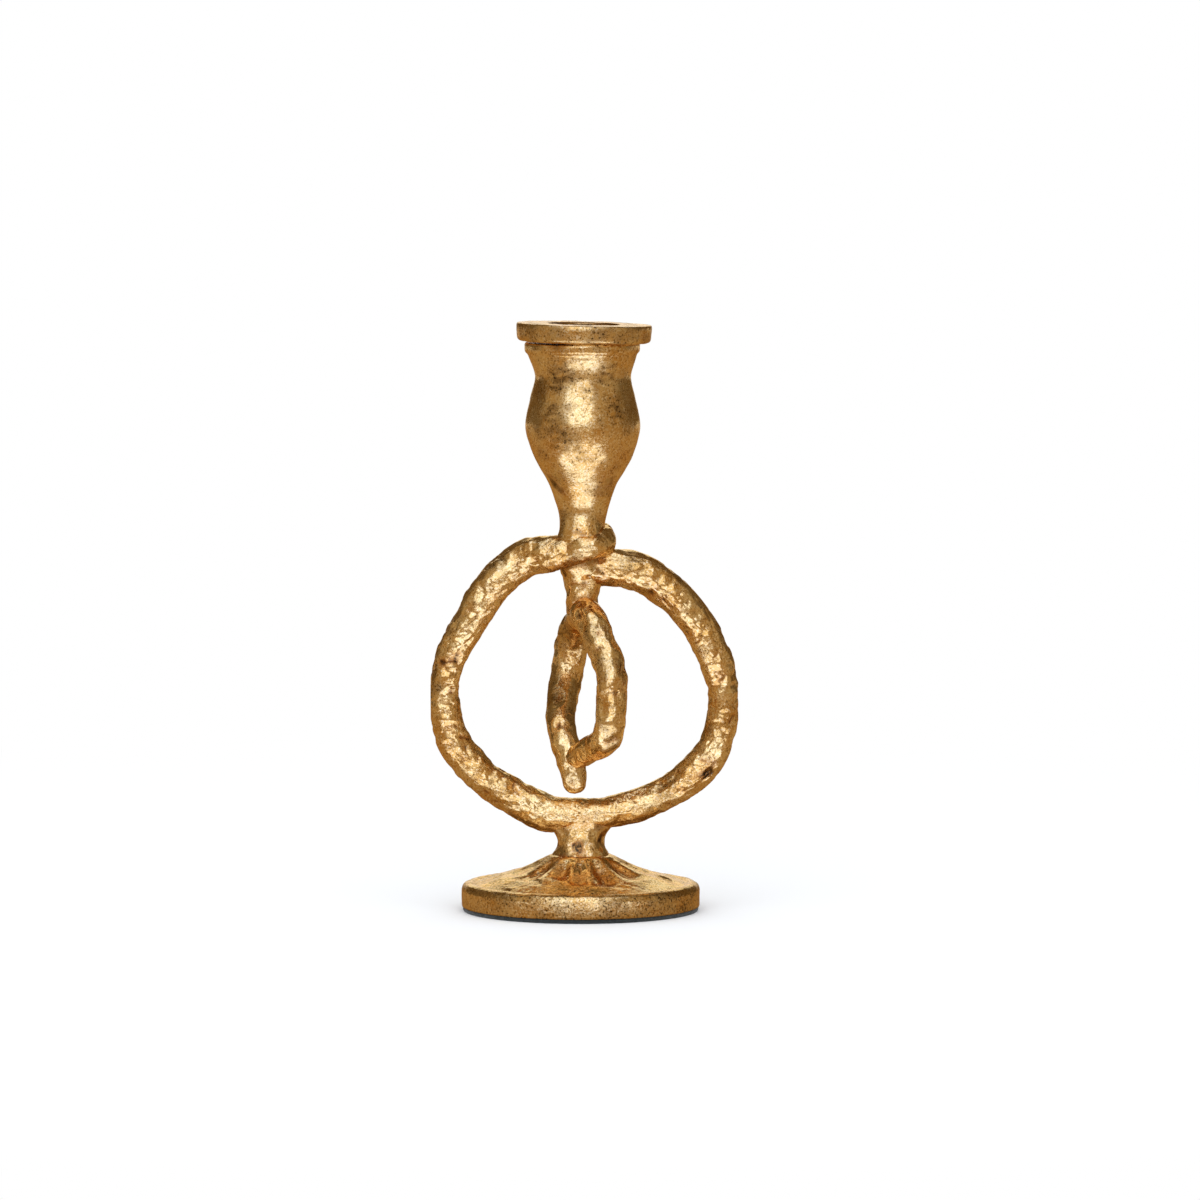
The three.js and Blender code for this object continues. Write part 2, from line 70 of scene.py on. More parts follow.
# %% [markdown]
# Seats in the frame.
# A surface only fits its neighbours if it starts from their real places. These could be typed in again,
# but the boxes of the solids already give the heights at which the pieces meet.

# %% Measure the seats


def node_box(node):
    """Lowest and highest corner of a solid, in millimetres."""
    low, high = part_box(node)
    return np.array(low) / MM, np.array(high) / MM


foot_low, foot_high = node_box("foot")
collar_low, collar_high = node_box("collar")
knuckle_low, knuckle_high = node_box("knuckle")
cup_low, cup_high = node_box("candle_cup")
cup_axis = (cup_low[0] + cup_high[0]) / 2
foot_radius = foot_high[1]
print("cup's axis at x =", round(cup_axis, 2), "mm, foot of radius", round(foot_radius, 1), "mm")

# %% [markdown]
# Relief.
# Hammered metal is never even. Large lumps come from the hammer, small grain from the scale on the iron.
# Sine waves in many directions, added up, give a smooth random relief that depends only on the place in
# space, so it runs on from one piece to the next. A texture could do this too, but then the outline of
# the piece would stay smooth.

# %% Helpers for relief
WAVES = 26
WAVE_SPREAD = (0.7, 1.4)
PIT_DEPTH_RANGE = 0.8
SHADE_REACH = (2.6, 0.2)


def smooth_step(low, high, value):
    """0 below low and 1 above high, with the cubic 3tt - 2ttt in between. Low may be the larger one."""
    share = np.clip((value - low) / (high - low), 0, 1)
    return share * share * (3 - 2 * share)


def ripples(points, size, seed):
    """Random relief of about unit height: a sum of sine waves with random directions and phases,
    whose wave lengths lie around the given size."""
    rng = np.random.default_rng(seed)
    directions = rng.normal(size=(WAVES, 3))
    directions /= np.linalg.norm(directions, axis=1, keepdims=True)
    lengths = size * rng.uniform(*WAVE_SPREAD, (WAVES, 1))
    phases = rng.uniform(0, 2 * np.pi, WAVES)
    return np.sin(points @ (directions * 2 * np.pi / lengths).T + phases).sum(-1) * math.sqrt(2 / WAVES)


def layers(points, *parts):
    """Relief in layers: the sum of height times ripples for each part (height, size, seed)."""
    return sum(height * ripples(points, size, seed) for height, size, seed in parts)


def patches(points, size, seed, low, high):
    """Patches with soft edges: 0 where ripples of this size lie under low, 1 where they lie over high."""
    return smooth_step(low, high, ripples(points, size, seed))


def spots(points, centres, sizes):
    """Sum of bell-shaped spots: exp(-(distance / size) squared) for each centre."""
    total = np.zeros(points.shape[:-1])
    for centre, size in zip(centres, sizes):
        total += np.exp(-((points - centre) ** 2).sum(-1) / size**2)
    return total


def pits(points, seed, level=1.7, size=1.4):
    """Small sharp holes: where a fine relief passes a level, the hole deepens with the excess. They come
    in patches, as a broad relief lets them through."""
    excess = np.clip(ripples(points, size, seed) - level, 0, PIT_DEPTH_RANGE) / PIT_DEPTH_RANGE
    return excess * patches(points, 17, seed + 500, 0.1, 1.1)


# Closeness places painted shade in the crevices next to a rod.
def closeness(points, curve):
    """How near each point lies to a rod: 1 at its skin, fading to 0 about 2.5 mm away. The rod is a row
    of balls (x, y, z, radius), and the nearest ball counts."""
    flat = points.reshape(-1, 3)
    nearest = np.full(len(flat), np.inf)
    for ball in curve:
        nearest = np.minimum(nearest, np.linalg.norm(flat - ball[:3], axis=1) - ball[3])
    return smooth_step(*SHADE_REACH, nearest).reshape(points.shape[:-1])


def deepest(*shares):
    """The largest of several shares, point by point."""
    return np.maximum.reduce(shares)


print("relief from", WAVES, "waves")

# %% [markdown]
# From grid to mesh.
# Each shape is worked out as a grid of points: rings of points along a path or up a profile. Modelling
# tools could join them face by face, but whole arrays of faces are quicker and leave no hole. The rings
# close on themselves, and each open end is closed by a fan round one point.
# Three things are stored with every point, and the finish reads them: how deep it lies in a hollow plus
# any painted shade, how tarnished the leaf is there plus any painted shade, and the place where the
# grain of the leaf is looked up.

# %% Put a grid into a mesh


def join_rings(rows, columns, closed):
    """Faces of a grid of rings: neighbouring rings are joined by four-sided faces. In a closed grid the
    last ring is joined to the first, otherwise each end ring gets a fan round one more point."""
    index = np.arange(rows * columns).reshape(rows, columns)
    below, above = (index, np.roll(index, -1, axis=0)) if closed else (index[:-1], index[1:])
    quads = np.stack([below, np.roll(below, -1, 1), np.roll(above, -1, 1), above], -1)
    faces = quads.reshape(-1, 4).tolist()
    if not closed:
        first = np.full(columns, rows * columns)
        faces += np.stack([first, np.roll(index[0], -1), index[0]], -1).tolist()
        faces += np.stack([first + 1, index[-1], np.roll(index[-1], -1)], -1).tolist()
    return faces


def store_share(mesh, label, grid):
    """Stores a share from 0 to 1 at each point of the grid. Points past the grid, and all points where
    there is no grid, get 0."""
    values = np.zeros(len(mesh.vertices), np.float32)
    if grid is not None:
        values[:grid.size] = np.clip(grid, 0, 1).ravel()
    mesh.attributes.new(label, "FLOAT", "POINT").data.foreach_set("value", values)


def store_grain(mesh, points, grain):
    """Stores where the grain is looked up: the point's own place or, on a rod, its unrolled place. The
    two end points of a rod get the mean of the rings beside them."""
    places = points.copy()
    if grain is not None:
        places[:-2] = grain.reshape(-1, 3)
        places[-2:] = [grain[0].mean(0), grain[-1].mean(0)]
    layer = mesh.attributes.new("grain", "FLOAT_VECTOR", "POINT")
    layer.data.foreach_set("vector", (places * MM).astype(np.float32).ravel())


def add_piece(name, node, rings, ends=None, hollow_and_shade=None, tarnish_and_shade=None, grain=None):
    """Makes a mesh object from an array of rings (ring, point, xyz) in millimetres, to stand in for a
    node. With ends, a pair of points, the end rings are closed by fans; without, the grid is closed."""
    points = rings.reshape(-1, 3)
    faces = join_rings(*rings.shape[:2], closed=ends is None)
    if ends is not None:
        points = np.concatenate([points, np.asarray(ends, float)])
    mesh = bpy.data.meshes.new(name)
    mesh.from_pydata((points * MM).tolist(), [], faces)
    store_share(mesh, "hollow_and_shade", hollow_and_shade)
    store_share(mesh, "tarnish_and_shade", tarnish_and_shade)
    store_grain(mesh, points, grain)
    mesh.polygons.foreach_set("use_smooth", np.ones(len(mesh.polygons), bool))
    mesh.update()
    piece = bpy.data.objects.new(name, mesh)
    bpy.context.scene.collection.objects.link(piece)
    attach(piece, "root")
    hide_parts(node)
    print(name, len(mesh.vertices), "points,", len(mesh.polygons), "faces")
    return piece


# %% [markdown]
# Curves.
# A few stations fix the path of a rod and its girth. Curve objects could do this, but here the points
# are needed as arrays, so a smooth cubic is run through the stations. It is then walked at even steps,
# so that the faces of the mesh come out about square.

# %% Smooth curves through stations
POINTS_PER_STATION = 40


def even_steps(points, step):
    """The same line with points at even distances, by interpolation along its length."""
    lengths = np.linalg.norm(np.diff(points[:, :3], axis=0), axis=1)
    along = np.concatenate([[0], np.cumsum(lengths)])
    wanted = np.linspace(0, along[-1], max(2, int(round(along[-1] / step)) + 1))
    return np.stack([np.interp(wanted, along, column) for column in points.T], 1)


def smooth_curve(stations, step):
    """A cubic through the stations. Knots are spaced by the square root of the distances, and the slope
    at a station is the mean of its two spans' slopes, each weighted by the other's length."""
    stations = np.asarray(stations, float)
    gaps = np.sqrt(np.linalg.norm(np.diff(stations[:, :3], axis=0), axis=1))
    knots = np.concatenate([[0], np.cumsum(gaps)])
    slopes = np.diff(stations, axis=0) / gaps[:, None]
    before, after = gaps[:-1, None], gaps[1:, None]
    inner = (slopes[:-1] * after + slopes[1:] * before) / (before + after)
    tangents = np.concatenate([slopes[:1], inner, slopes[-1:]])
    at = np.linspace(0, knots[-1], POINTS_PER_STATION * len(stations))
    span = np.clip(np.searchsorted(knots, at, side="right") - 1, 0, len(gaps) - 1)
    width = gaps[span][:, None]
    t = ((at - knots[span]) / gaps[span])[:, None]
    start = (1 + 2 * t) * (1 - t) ** 2 * stations[span] + t * (1 - t) ** 2 * width * tangents[span]
    finish = t**2 * (3 - 2 * t) * stations[span + 1] + t**2 * (t - 1) * width * tangents[span + 1]
    return even_steps(start + finish, step)


print("curves with", POINTS_PER_STATION, "points per station")

# %% [markdown]
# Hammer blows.
# A smith flattens a round bar a little at each blow. Random dents pushed into a tube would look like
# dough. So the rod starts round, and every blow cuts it back to a flat, which lies at a set distance from
# the rod's middle and runs out along the rod. The least of all these distances, taken softly, leaves
# broad facets with soft edges. Where two blows meet, the skin folds, so narrow grooves come on top.

# %% Helpers for hammer blows
FACET_BLEND = 0.25
LEAST_FACING = 0.25
BLOW_STRAY = 0.4
BLOW_LENGTH = (4, 11)
BLOW_CUT = (0.4, 1.3)
CREASE_FREE = (12, 42)
CREASE_STRAY = 5
CREASE_LENGTH = (4, 11)
CREASE_WANDER = 0.25
CREASE_BEND = (2, 5)
CREASE_DEPTH = (0.4, 1)
CREASE_WIDTH = (0.4, 0.8)


def soft_least(first, second, blend_width):
    """The smaller of two arrays, rounded off over a band of the given width where they cross."""
    mix = np.clip(blend_width - np.abs(first - second), 0, None) / blend_width
    return np.minimum(first, second) - mix * mix * blend_width / 4


def hammered(radius, along, around, seed, spacing, depth):
    """Radius of a rod after the hammer: the least of the round rod and one flat for each blow. A flat's
    distance grows as 1 / cos of the angle from its middle, and as the square of the way along."""
    rng = np.random.default_rng(seed)
    blows = int(along.max() / spacing)
    places = (np.arange(blows) + rng.uniform(-BLOW_STRAY, BLOW_STRAY, blows)) * spacing
    turns = rng.uniform(0, 2 * np.pi, blows)
    reach = rng.uniform(*BLOW_LENGTH, blows)
    cuts = depth * rng.uniform(*BLOW_CUT, blows)
    result = radius * np.ones_like(around)
    for place, turn, length, cut in zip(places, turns, reach, cuts):
        facing = np.maximum(np.cos(around - turn), LEAST_FACING)
        flat = (radius - cut) / facing + cut * ((along - place) / length) ** 2
        result = soft_least(result, flat, FACET_BLEND)
    return result


def creases(along, around, girth, seed, spacing):
    """Folds that the hammer left: narrow grooves that run along the rod, wander and fade at both ends.
    Across, a groove is a bell curve; along, it is exp(-(distance / length) to the fourth)."""
    rng = np.random.default_rng(seed)
    total = np.zeros(np.broadcast_shapes(along.shape, around.shape))
    for place in np.arange(CREASE_FREE[0], along.max() - CREASE_FREE[1], spacing):
        middle = place + rng.uniform(-CREASE_STRAY, CREASE_STRAY)
        length = rng.uniform(*CREASE_LENGTH)
        turn = rng.uniform(0, 2 * np.pi)
        turn = turn + CREASE_WANDER * np.sin((along - middle) / rng.uniform(*CREASE_BEND))
        off = ((around - turn + np.pi) % (2 * np.pi) - np.pi) * girth
        depth = rng.uniform(*CREASE_DEPTH)
        width = rng.uniform(*CREASE_WIDTH)
        total += depth * np.exp(-(((along - middle) / length) ** 4)) * np.exp(-((off / width) ** 2))
    return total


print("hammer ready")

# %% [markdown]
# The forged rod.
# Hoop and inner loop are the same kind of bar, so one function forges both. A curve with a bevel would
# give a smooth tube; here every point of a ring has its own radius, which can follow the hammer. The
# grain of the leaf follows the bar too, so each point also keeps its place on the unrolled, straight bar.

# %% Forge a rod
BLOW_SPACING = 3.4
CREASE_SPACING = 4
FORGING_STOCK = 0.25
LUMP_LIMIT = 0.4
CALM_STRETCH = (46, 34)
BOX_MARGIN = 0.02
GRAIN_PULL = 0.4


def rod_frame(path, reference):
    """Two directions square to the path: the reference with its part along the path taken out, and the
    cross product of the path's direction with it."""
    forward = np.gradient(path, axis=0)
    forward /= np.linalg.norm(forward, axis=1, keepdims=True)
    side = reference - (reference * forward).sum(1, keepdims=True) * forward
    side /= np.linalg.norm(side, axis=1, keepdims=True)
    return side, np.cross(forward, side)


def forge_rod(stations, reference, seed, step, columns, end_rounds, depth, calm_end=0):
    """A hammered rod along the curve through stations (x, y, z, radius): each ring is the path's point
    plus the local radius times cos(t) side + sin(t) up. The ends are domes of the given lengths. With
    calm_end the last stretch has no flats. The x of each point is kept inside the solids' box."""
    curve = smooth_curve(stations, step)
    path, girth = curve[:, :3], curve[:, 3:]
    along = np.linspace(0, step * (len(path) - 1), len(path))[:, None]
    around = np.linspace(0, 2 * np.pi, columns, endpoint=False)[None, :]
    side, up = rod_frame(path, reference(along))
    outward = side[:, None, :] * np.cos(around)[..., None] + up[:, None, :] * np.sin(around)[..., None]
    base = path[:, None, :] + girth[..., None] * outward
    radius = hammered(girth + FORGING_STOCK, along, around, seed, BLOW_SPACING, depth)
    calm_from, calm_to = along.max() - np.array(CALM_STRETCH)
    radius = radius + smooth_step(calm_from, calm_to, along) * calm_end * (girth - radius)
    relief = layers(base, (0.18, 9, seed + 2), (0.11, 3.8, seed + 3), (0.025, 1.3, seed + 4))
    relief = relief - 0.2 * creases(along, around, girth, seed + 6, CREASE_SPACING)
    relief = relief - 0.4 * pits(base, seed + 5)
    radius = np.minimum(radius + relief, girth + LUMP_LIMIT)
    from_end = np.minimum(along / end_rounds[0], (along.max() - along) / end_rounds[1])
    dome = np.sqrt(1 - (1 - np.clip(from_end, 0, 1)) ** 2)
    rings = path[:, None, :] + (radius * dome)[..., None] * outward
    rings[..., 0] = np.clip(rings[..., 0], cad_low[0] / MM + BOX_MARGIN, cad_high[0] / MM - BOX_MARGIN)
    unrolled = np.broadcast_arrays(along * GRAIN_PULL, girth * np.cos(around), girth * np.sin(around))
    return SimpleNamespace(
        rings=rings[1:-1],
        ends=(path[0], path[-1]),
        relief=relief[1:-1],
        underside=smooth_step(-0.3, -0.95, outward[1:-1, :, 2]),
        curve=curve,
        grain=np.stack(unrolled, -1)[1:-1],
    )


print("a hammer blow every", BLOW_SPACING, "mm")

# %% [markdown]
# The path of the hoop.
# On the real holder one rod makes the hoop: it starts at the knuckle on the right, runs down and round,
# comes up the left side, crosses in front of the cup's neck and curls round to the back. A true circle
# would look machined. So the stations give the angle round the hoop in degrees, how far the rod strays
# from the circle, and how much fatter it is there. The curl is a short screw line round the cup's axis.

# %% Bend the hoop
HOOP_CENTRE = (1.75, 71.175)
HOOP_RADIUS = 42.5
HOOP_ROD = 5.2
HOOP_BENDS = np.array([
    [430, -2.9, 0.9], [414, -2.6, 0.5], [396, -2.3, 0.1], [376, -1, 0.1], [357, 1.1, -0.5],
    [338, 2.4, -0.3], [325, 1.9, 0.2], [308, 0, -0.2], [290, -1.5, -0.2], [268, -1.5, 0],
    [252, -0.4, 0.6], [236, -0.5, 0.4], [218, 1.2, 0.2], [201, 2.9, 0], [184, 2.5, -0.7],
    [166, 1.2, -0.4], [150, -0.3, 0.1], [133, 1.2, 0.5], [114, 2.5, 0.5],
])
CURL_REACH = 6.4
CURL_HEIGHT = 115.475
CURL_RISE = 6.6
CURL_TURN = (-125, 120)
CURL_FRONT = -90
CURL_ROD = (4.6, 3.4)
CURL_STATIONS = 9
CROSSING_SWELL = 0.8
COPE_END = [cup_axis - 2.2, 0, 108.6, 5.8]

bend_angle = np.radians(HOOP_BENDS[:, 0])
bend_reach = HOOP_RADIUS + HOOP_BENDS[:, 1]
ring_stations = np.stack([
    HOOP_CENTRE[0] + bend_reach * np.cos(bend_angle),
    np.zeros(len(HOOP_BENDS)),
    HOOP_CENTRE[1] + bend_reach * np.sin(bend_angle),
    HOOP_ROD + HOOP_BENDS[:, 2],
], 1)
curl_share = np.linspace(0, 1, CURL_STATIONS)
curl_angle = np.radians(CURL_TURN[0] + (CURL_TURN[1] - CURL_TURN[0]) * curl_share)
front_share = (CURL_FRONT - CURL_TURN[0]) / (CURL_TURN[1] - CURL_TURN[0])
curl_stations = np.stack([
    cup_axis + CURL_REACH * np.cos(curl_angle),
    CURL_REACH * np.sin(curl_angle),
    CURL_HEIGHT + CURL_RISE * (curl_share - front_share),
    CURL_ROD[0] + (CURL_ROD[1] - CURL_ROD[0]) * curl_share**3,
], 1)
crossing = (ring_stations[-1] + curl_stations[0]) / 2 + [0, 0, 0, CROSSING_SWELL]
hoop_stations = np.concatenate([[COPE_END], ring_stations, [crossing], curl_stations])
print("hoop through", len(hoop_stations), "stations")

# %% [markdown]
# The hoop.
# It is the lumpiest piece, but its last stretch, the arm and the curl, was drawn out and is smoother.
# Rings have to start somewhere round the rod: from the hoop's own axis at first, and from upright where
# the rod starts to curl. A fixed direction would twist the rings there. Leaf is worn off in the folds.
# The underside, and most of all the knot under the cup, get painted shade in the colour of the ground.

# %% Forge the hoop
CURL_LENGTH = 26
REFERENCE_TURN = (-16, 2)
KNOT_DROP = 4
KNOT_REACH = (15, 9)


def hoop_reference(along):
    """The hoop's axis, turning to upright over the stretch before the curl."""
    turn_from, turn_to = along.max() - CURL_LENGTH + np.array(REFERENCE_TURN)
    turn = smooth_step(turn_from, turn_to, along)
    return (1 - turn) * np.array([0, 1, 0]) + turn * np.array([0, 0, -1])


hoop_rod = forge_rod(
    hoop_stations, hoop_reference, seed=11, step=0.36, columns=104, end_rounds=(4.5, 3.2), depth=0.4,
    calm_end=1)
knot = np.array([cup_axis, 0, knuckle_high[2] - KNOT_DROP])
# Painted shade on the underside of the rod in the knot under the cup.
in_knot = smooth_step(*KNOT_REACH, np.linalg.norm(hoop_rod.rings - knot, axis=-1)) * hoop_rod.underside
hoop = add_piece(
    "forged_hoop", "hoop", hoop_rod.rings, hoop_rod.ends,
    # Real hollows of the relief, plus painted shade on the underside and in the knot.
    hollow_and_shade=deepest(smooth_step(-0.2, -0.7, hoop_rod.relief), 0.35 * hoop_rod.underside + 0.5 * in_knot),
    tarnish_and_shade=0.7 * patches(hoop_rod.rings, 11, 21, 0.7, 2.0),
    grain=hoop_rod.grain)

# %% [markdown]
# The path of the inner loop.
# It is a second rod, bent square to the hoop. The front leg comes down close to the viewer, turns back
# sharply and is welded to the leg behind, whose drawn-out end hangs on as a tail. It could be two pieces,
# but one rod follows the smith: from the tail upwards, over the top, and down to the weld. Each bend gives
# the share of the height, the share of the depth to the front, the lean to the right and the extra radius.

# %% Bend the inner loop
LOOP_ROD = 4.7
LOOP_HALF_DEPTH = 22
LOOP_SPAN = (37.975, 94.475)
LOOP_BENDS = np.array([
    [-0.014, 0.1, -2.5, -1.7], [0.12, 0.06, -3.0, -0.8], [0.2, 0, -4.4, -0.3], [0.3, -0.13, -6.4, -0.4],
    [0.44, -0.5, -6.9, 0], [0.62, -0.93, -5.2, 0.3], [0.83, -0.85, -3.3, 0.3], [0.945, -0.45, -1.2, -0.3],
    [0.99, 0, 0.1, 0.1], [0.99, 0.36, 1.9, 0.3], [0.865, 0.7, 5.5, 0], [0.7, 0.9, 8.8, 0.2],
    [0.54, 0.98, 9.1, -0.2], [0.4, 1, 8.5, -0.2], [0.32, 0.9, 7.3, -0.3],
])
LOOP_WELD = [-2.2, -1.0, 48.1, 3.5]

bend_stations = np.stack([
    cup_axis + LOOP_BENDS[:, 2],
    -LOOP_HALF_DEPTH * LOOP_BENDS[:, 1],
    LOOP_SPAN[0] + (LOOP_SPAN[1] - LOOP_SPAN[0]) * LOOP_BENDS[:, 0],
    LOOP_ROD + LOOP_BENDS[:, 3],
], 1)
loop_stations = np.concatenate([bend_stations, [(bend_stations[-1] + LOOP_WELD) / 2, LOOP_WELD]])
print("inner loop through", len(loop_stations), "stations")

# %% [markdown]
# The inner loop.
# Forged like the hoop. A rough, pitted patch sits on the front leg, and the weld has a dark seam. Painted
# shade darkens the back leg under the knuckle, the crown of the loop and its underside. Such marks could
# be painted on, but as numbers in the mesh they stay with the metal.

# %% Forge the inner loop
LOOP_ROUGH = np.array([[11.5, -20, 80], [12, -22, 76], [11, -21, 72]])
LOOP_SEAM = np.array([[-0.3, -4.4, 49.2], [-0.8, -4, 46.4]])
LOOP_SHADE = np.array([[-1, 9, 92.5], [-2.5, 15, 88]])
LOOP_CROWN = (95.5, 98)


def loop_reference(along):
    """Sideways, which the loop's path never follows."""
    return np.ones_like(along) * np.array([1, 0, 0])


loop_rod = forge_rod(
    loop_stations, loop_reference, seed=52, step=0.36, columns=92, end_rounds=(2.6, 2.4), depth=0.35)
loop_rough = spots(loop_rod.rings, LOOP_ROUGH, [3.5, 3.5, 3]) * patches(loop_rod.rings, 1.5, 63, -0.1, 0.7)
loop_crown = smooth_step(*LOOP_CROWN, loop_rod.rings[..., 2])
loop_seam = spots(loop_rod.rings, LOOP_SEAM, [2.2, 1.8])
loop_shade = np.minimum(1.3 * spots(loop_rod.rings, LOOP_SHADE, [6, 6]), 1)
loop = add_piece(
    "forged_inner_loop", "inner_loop", loop_rod.rings, loop_rod.ends,
    # Real pits and seam, plus painted shade in the ground's colour on the underside and the crown of the
    # loop.
    hollow_and_shade=deepest(smooth_step(-0.2, -0.7, loop_rod.relief), loop_rough, 0.8 * loop_seam,
                   0.35 * loop_rod.underside + 0.35 * loop_crown),
    # Painted shade on the back leg under the knuckle goes in through the tarnish share.
    tarnish_and_shade=deepest(0.7 * patches(loop_rod.rings, 10, 61, 0.7, 2.0), 0.9 * loop_shade),
    grain=loop_rod.grain)

# %% [markdown]
# Turned pieces.
# The cup, the rim, the collar and the foot were turned or cast round, and then hammered or rubbed. A
# screw modifier could turn a profile, but then nothing could be moved point by point. So each is a profile
# carried round an axis: a radius and a height for every ring. Relief moves a point along the profile's own
# normal. Corners of a profile get a small round, because leaf never keeps a sharp edge.

# %% Helpers for turned pieces
CORNER_POINTS = 9


def rounded(corners, step):
    """A line through corners (radius, height, round). Each corner is replaced by the parabola that touches
    both sides at the round's distance from the corner."""
    corners = np.asarray(corners, float)
    parts = [corners[:1, :2]]
    share = np.linspace(0, 1, CORNER_POINTS)[:, None]
    for before, corner, after in zip(corners[:-2], corners[1:-1], corners[2:]):
        here = corner[:2]
        into = (before[:2] - here) / np.linalg.norm(before[:2] - here) * corner[2]
        out = (after[:2] - here) / np.linalg.norm(after[:2] - here) * corner[2]
        parts.append(here + into * (1 - share) ** 2 + out * share**2)
    parts.append(corners[-1:, :2])
    line = np.concatenate(parts)
    keep = np.concatenate([[True], np.linalg.norm(np.diff(line, axis=0), axis=1) > 1e-6])
    return even_steps(line[keep], step)


def turn_profile(profile, columns, closed=False):
    """Rings of a turned piece about the Z axis, with each point's outward direction and bearing: the
    profile's direction (dr, dz) turned by a right angle is (dz, -dr)."""
    if closed:
        slope = np.roll(profile, -1, axis=0) - np.roll(profile, 1, axis=0)
    else:
        slope = np.gradient(profile, axis=0)
    slope /= np.linalg.norm(slope, axis=1, keepdims=True)
    around = np.linspace(0, 2 * np.pi, columns, endpoint=False)
    circle = np.stack([np.cos(around), np.sin(around)], -1)
    ones = np.ones((1, columns, 1))
    rings = np.concatenate([profile[:, :1, None] * circle[None], profile[:, 1:, None] * ones], -1)
    outward = np.concatenate([slope[:, 1:, None] * circle[None], -slope[:, :1, None] * ones], -1)
    return rings, outward, around[None, :]


def angle_from(around, degrees):
    """Angle from a bearing in degrees, from minus to plus half a turn."""
    return (around - math.radians(degrees) + np.pi) % (2 * np.pi) - np.pi


def lobe(around, degrees, width, power=2):
    """A swelling to one side: exp(-(angle from the bearing / width) to the given power)."""
    return np.exp(-(angle_from(around, degrees) / width) ** power)


def reach_from_axis(rings):
    """Distance of each point from the Z axis."""
    return np.hypot(rings[..., 0], rings[..., 1])


print("corners rounded by", CORNER_POINTS, "points")

# %% [markdown]
# The profile of the candle cup.
# A long neck swells to a round shoulder, draws in to a throat and opens to a lip under the rim. Inside is
# the socket for the candle, which narrows a little to its floor. A shell could be thickened afterwards,
# but then inside and outside would be alike. So one line goes up the outside, over the lip and down into
# the socket.

# %% Draw the candle cup
CUP_STEP = 0.4
CUP_COLUMNS = 300
CUP_FOOT = [[0.4, 0], [6.9, 0], [7.0, 0.4]]
CUP_SIDE = np.array([
    [7.0, 4.0], [7.0, 10.5], [10.09, 20.85], [16.06, 31.95], [18.05, 40.5], [16.63, 49.66], [15.2, 56.3],
    [17.2, 63.2],
])
LIP_RADIUS = 18.2
LIP_HEIGHTS = (64.2, 66.9)
SOCKET_MOUTH = 11.1
SOCKET_FLOOR = (10.6, 46.9)

cup_side = smooth_curve(CUP_SIDE, 0.3)
cup_lip = rounded([
    [*CUP_SIDE[-1], 0], [17.5, 63.5, 0.3], [LIP_RADIUS, LIP_HEIGHTS[0], 0.6],
    [LIP_RADIUS, LIP_HEIGHTS[1], 0.6], [SOCKET_MOUTH, LIP_HEIGHTS[1], 0.5], [*SOCKET_FLOOR, 0.6],
    [0.4, SOCKET_FLOOR[1], 0],
], 0.42)
cup_profile = even_steps(np.concatenate([CUP_FOOT, cup_side, cup_lip[1:]]), CUP_STEP)
cup_profile[:, 1] += cup_low[2]
cup_rings, cup_outward, cup_around = turn_profile(cup_profile, CUP_COLUMNS)
cup_rise = cup_rings[..., 2] - cup_low[2]
outside = (np.arange(len(cup_profile)) < np.argmax(cup_profile[:, 1]))[:, None] * np.ones(cup_rise.shape)
print("cup of", len(cup_profile), "rings")

# %% [markdown]
# The skin of the candle cup.
# It is the smoothest piece: fine turning lines and a few pits. At its foot the braze runs up from the
# curled rod, so the neck spreads there, most of all towards the front and the left arm. A separate blob
# would leave a seam, so the neck itself swells.

# %% Turn the candle cup
BRAZE_RISE = (16, 5)
BRAZE_FOOT = (1, 4.5)
BRAZE_FRONT = 255
BRAZE_BACK = 70
BRAZE_WIDTH = 1.1
TURNING_LINES = 5.5
CUP_LUMP_LIMIT = 0.25

braze_height = smooth_step(*BRAZE_RISE, cup_rise) * smooth_step(*BRAZE_FOOT, cup_rise)
braze = 2.6 * braze_height * lobe(cup_around, BRAZE_FRONT, BRAZE_WIDTH, 4)
braze = braze + 0.8 * braze_height * lobe(cup_around, BRAZE_BACK, BRAZE_WIDTH)
turning = np.sin(cup_rise * TURNING_LINES + 0.6 * ripples(cup_rings, 20, 74))
turning = turning * patches(cup_rings, 9, 78, 0, 1.2)
cup_relief = layers(cup_rings, (0.09, 15, 71), (0.025, 4, 72)) + 0.02 * turning
cup_relief = cup_relief - 0.3 * pits(cup_rings, 73, 1.8, 1.2)
cup_relief = cup_relief + smooth_step(14, 3, cup_rise) * 0.12 * ripples(cup_rings, 5, 75)
cup_relief = np.minimum(cup_relief, CUP_LUMP_LIMIT) * outside
cup_rings = cup_rings + (cup_relief + braze * outside)[..., None] * cup_outward
cup_rings[..., 0] += cup_axis
print("deepest pit in the cup", round(-cup_relief.min(), 2), "mm")

# %% [markdown]
# The wear and painted shade of the candle cup.
# Dull blots lie round the shoulder and the throat, and faint bands run round it. Lower down the leaf is
# rubbed through to its orange ground, and painted shade darkens the crevice beside the curl and the
# inside of the socket. The blots are listed one by one, because random ones fall in the wrong spots.

# %% Wear the candle cup
CUP_BLOTS = np.array([
    [-5, -14, 171], [-8, -13, 169], [-8, -16, 154], [-9, -15, 159], [-6, -17, 150], [8, -13, 171],
    [11, -14, 160], [3, -17, 165], [10, 14, 165], [-12, 12, 158], [14, 8, 172],
])
BLOT_SIZES = [4.2, 3.2, 3.6, 3.0, 3.2, 3.4, 3.6, 2.4, 4, 4.4, 3.6]
CUP_RUBBED = np.array([[10, -8, 146], [8, -7, 137], [-8.5, -9, 147], [9, 9, 142], [-9, 8, 140]])
RUBBED_SIZES = [5, 4, 4.5, 5, 5]
CREVICE_OPEN = 262
CURL_BALLS = slice(-90, None, 4)

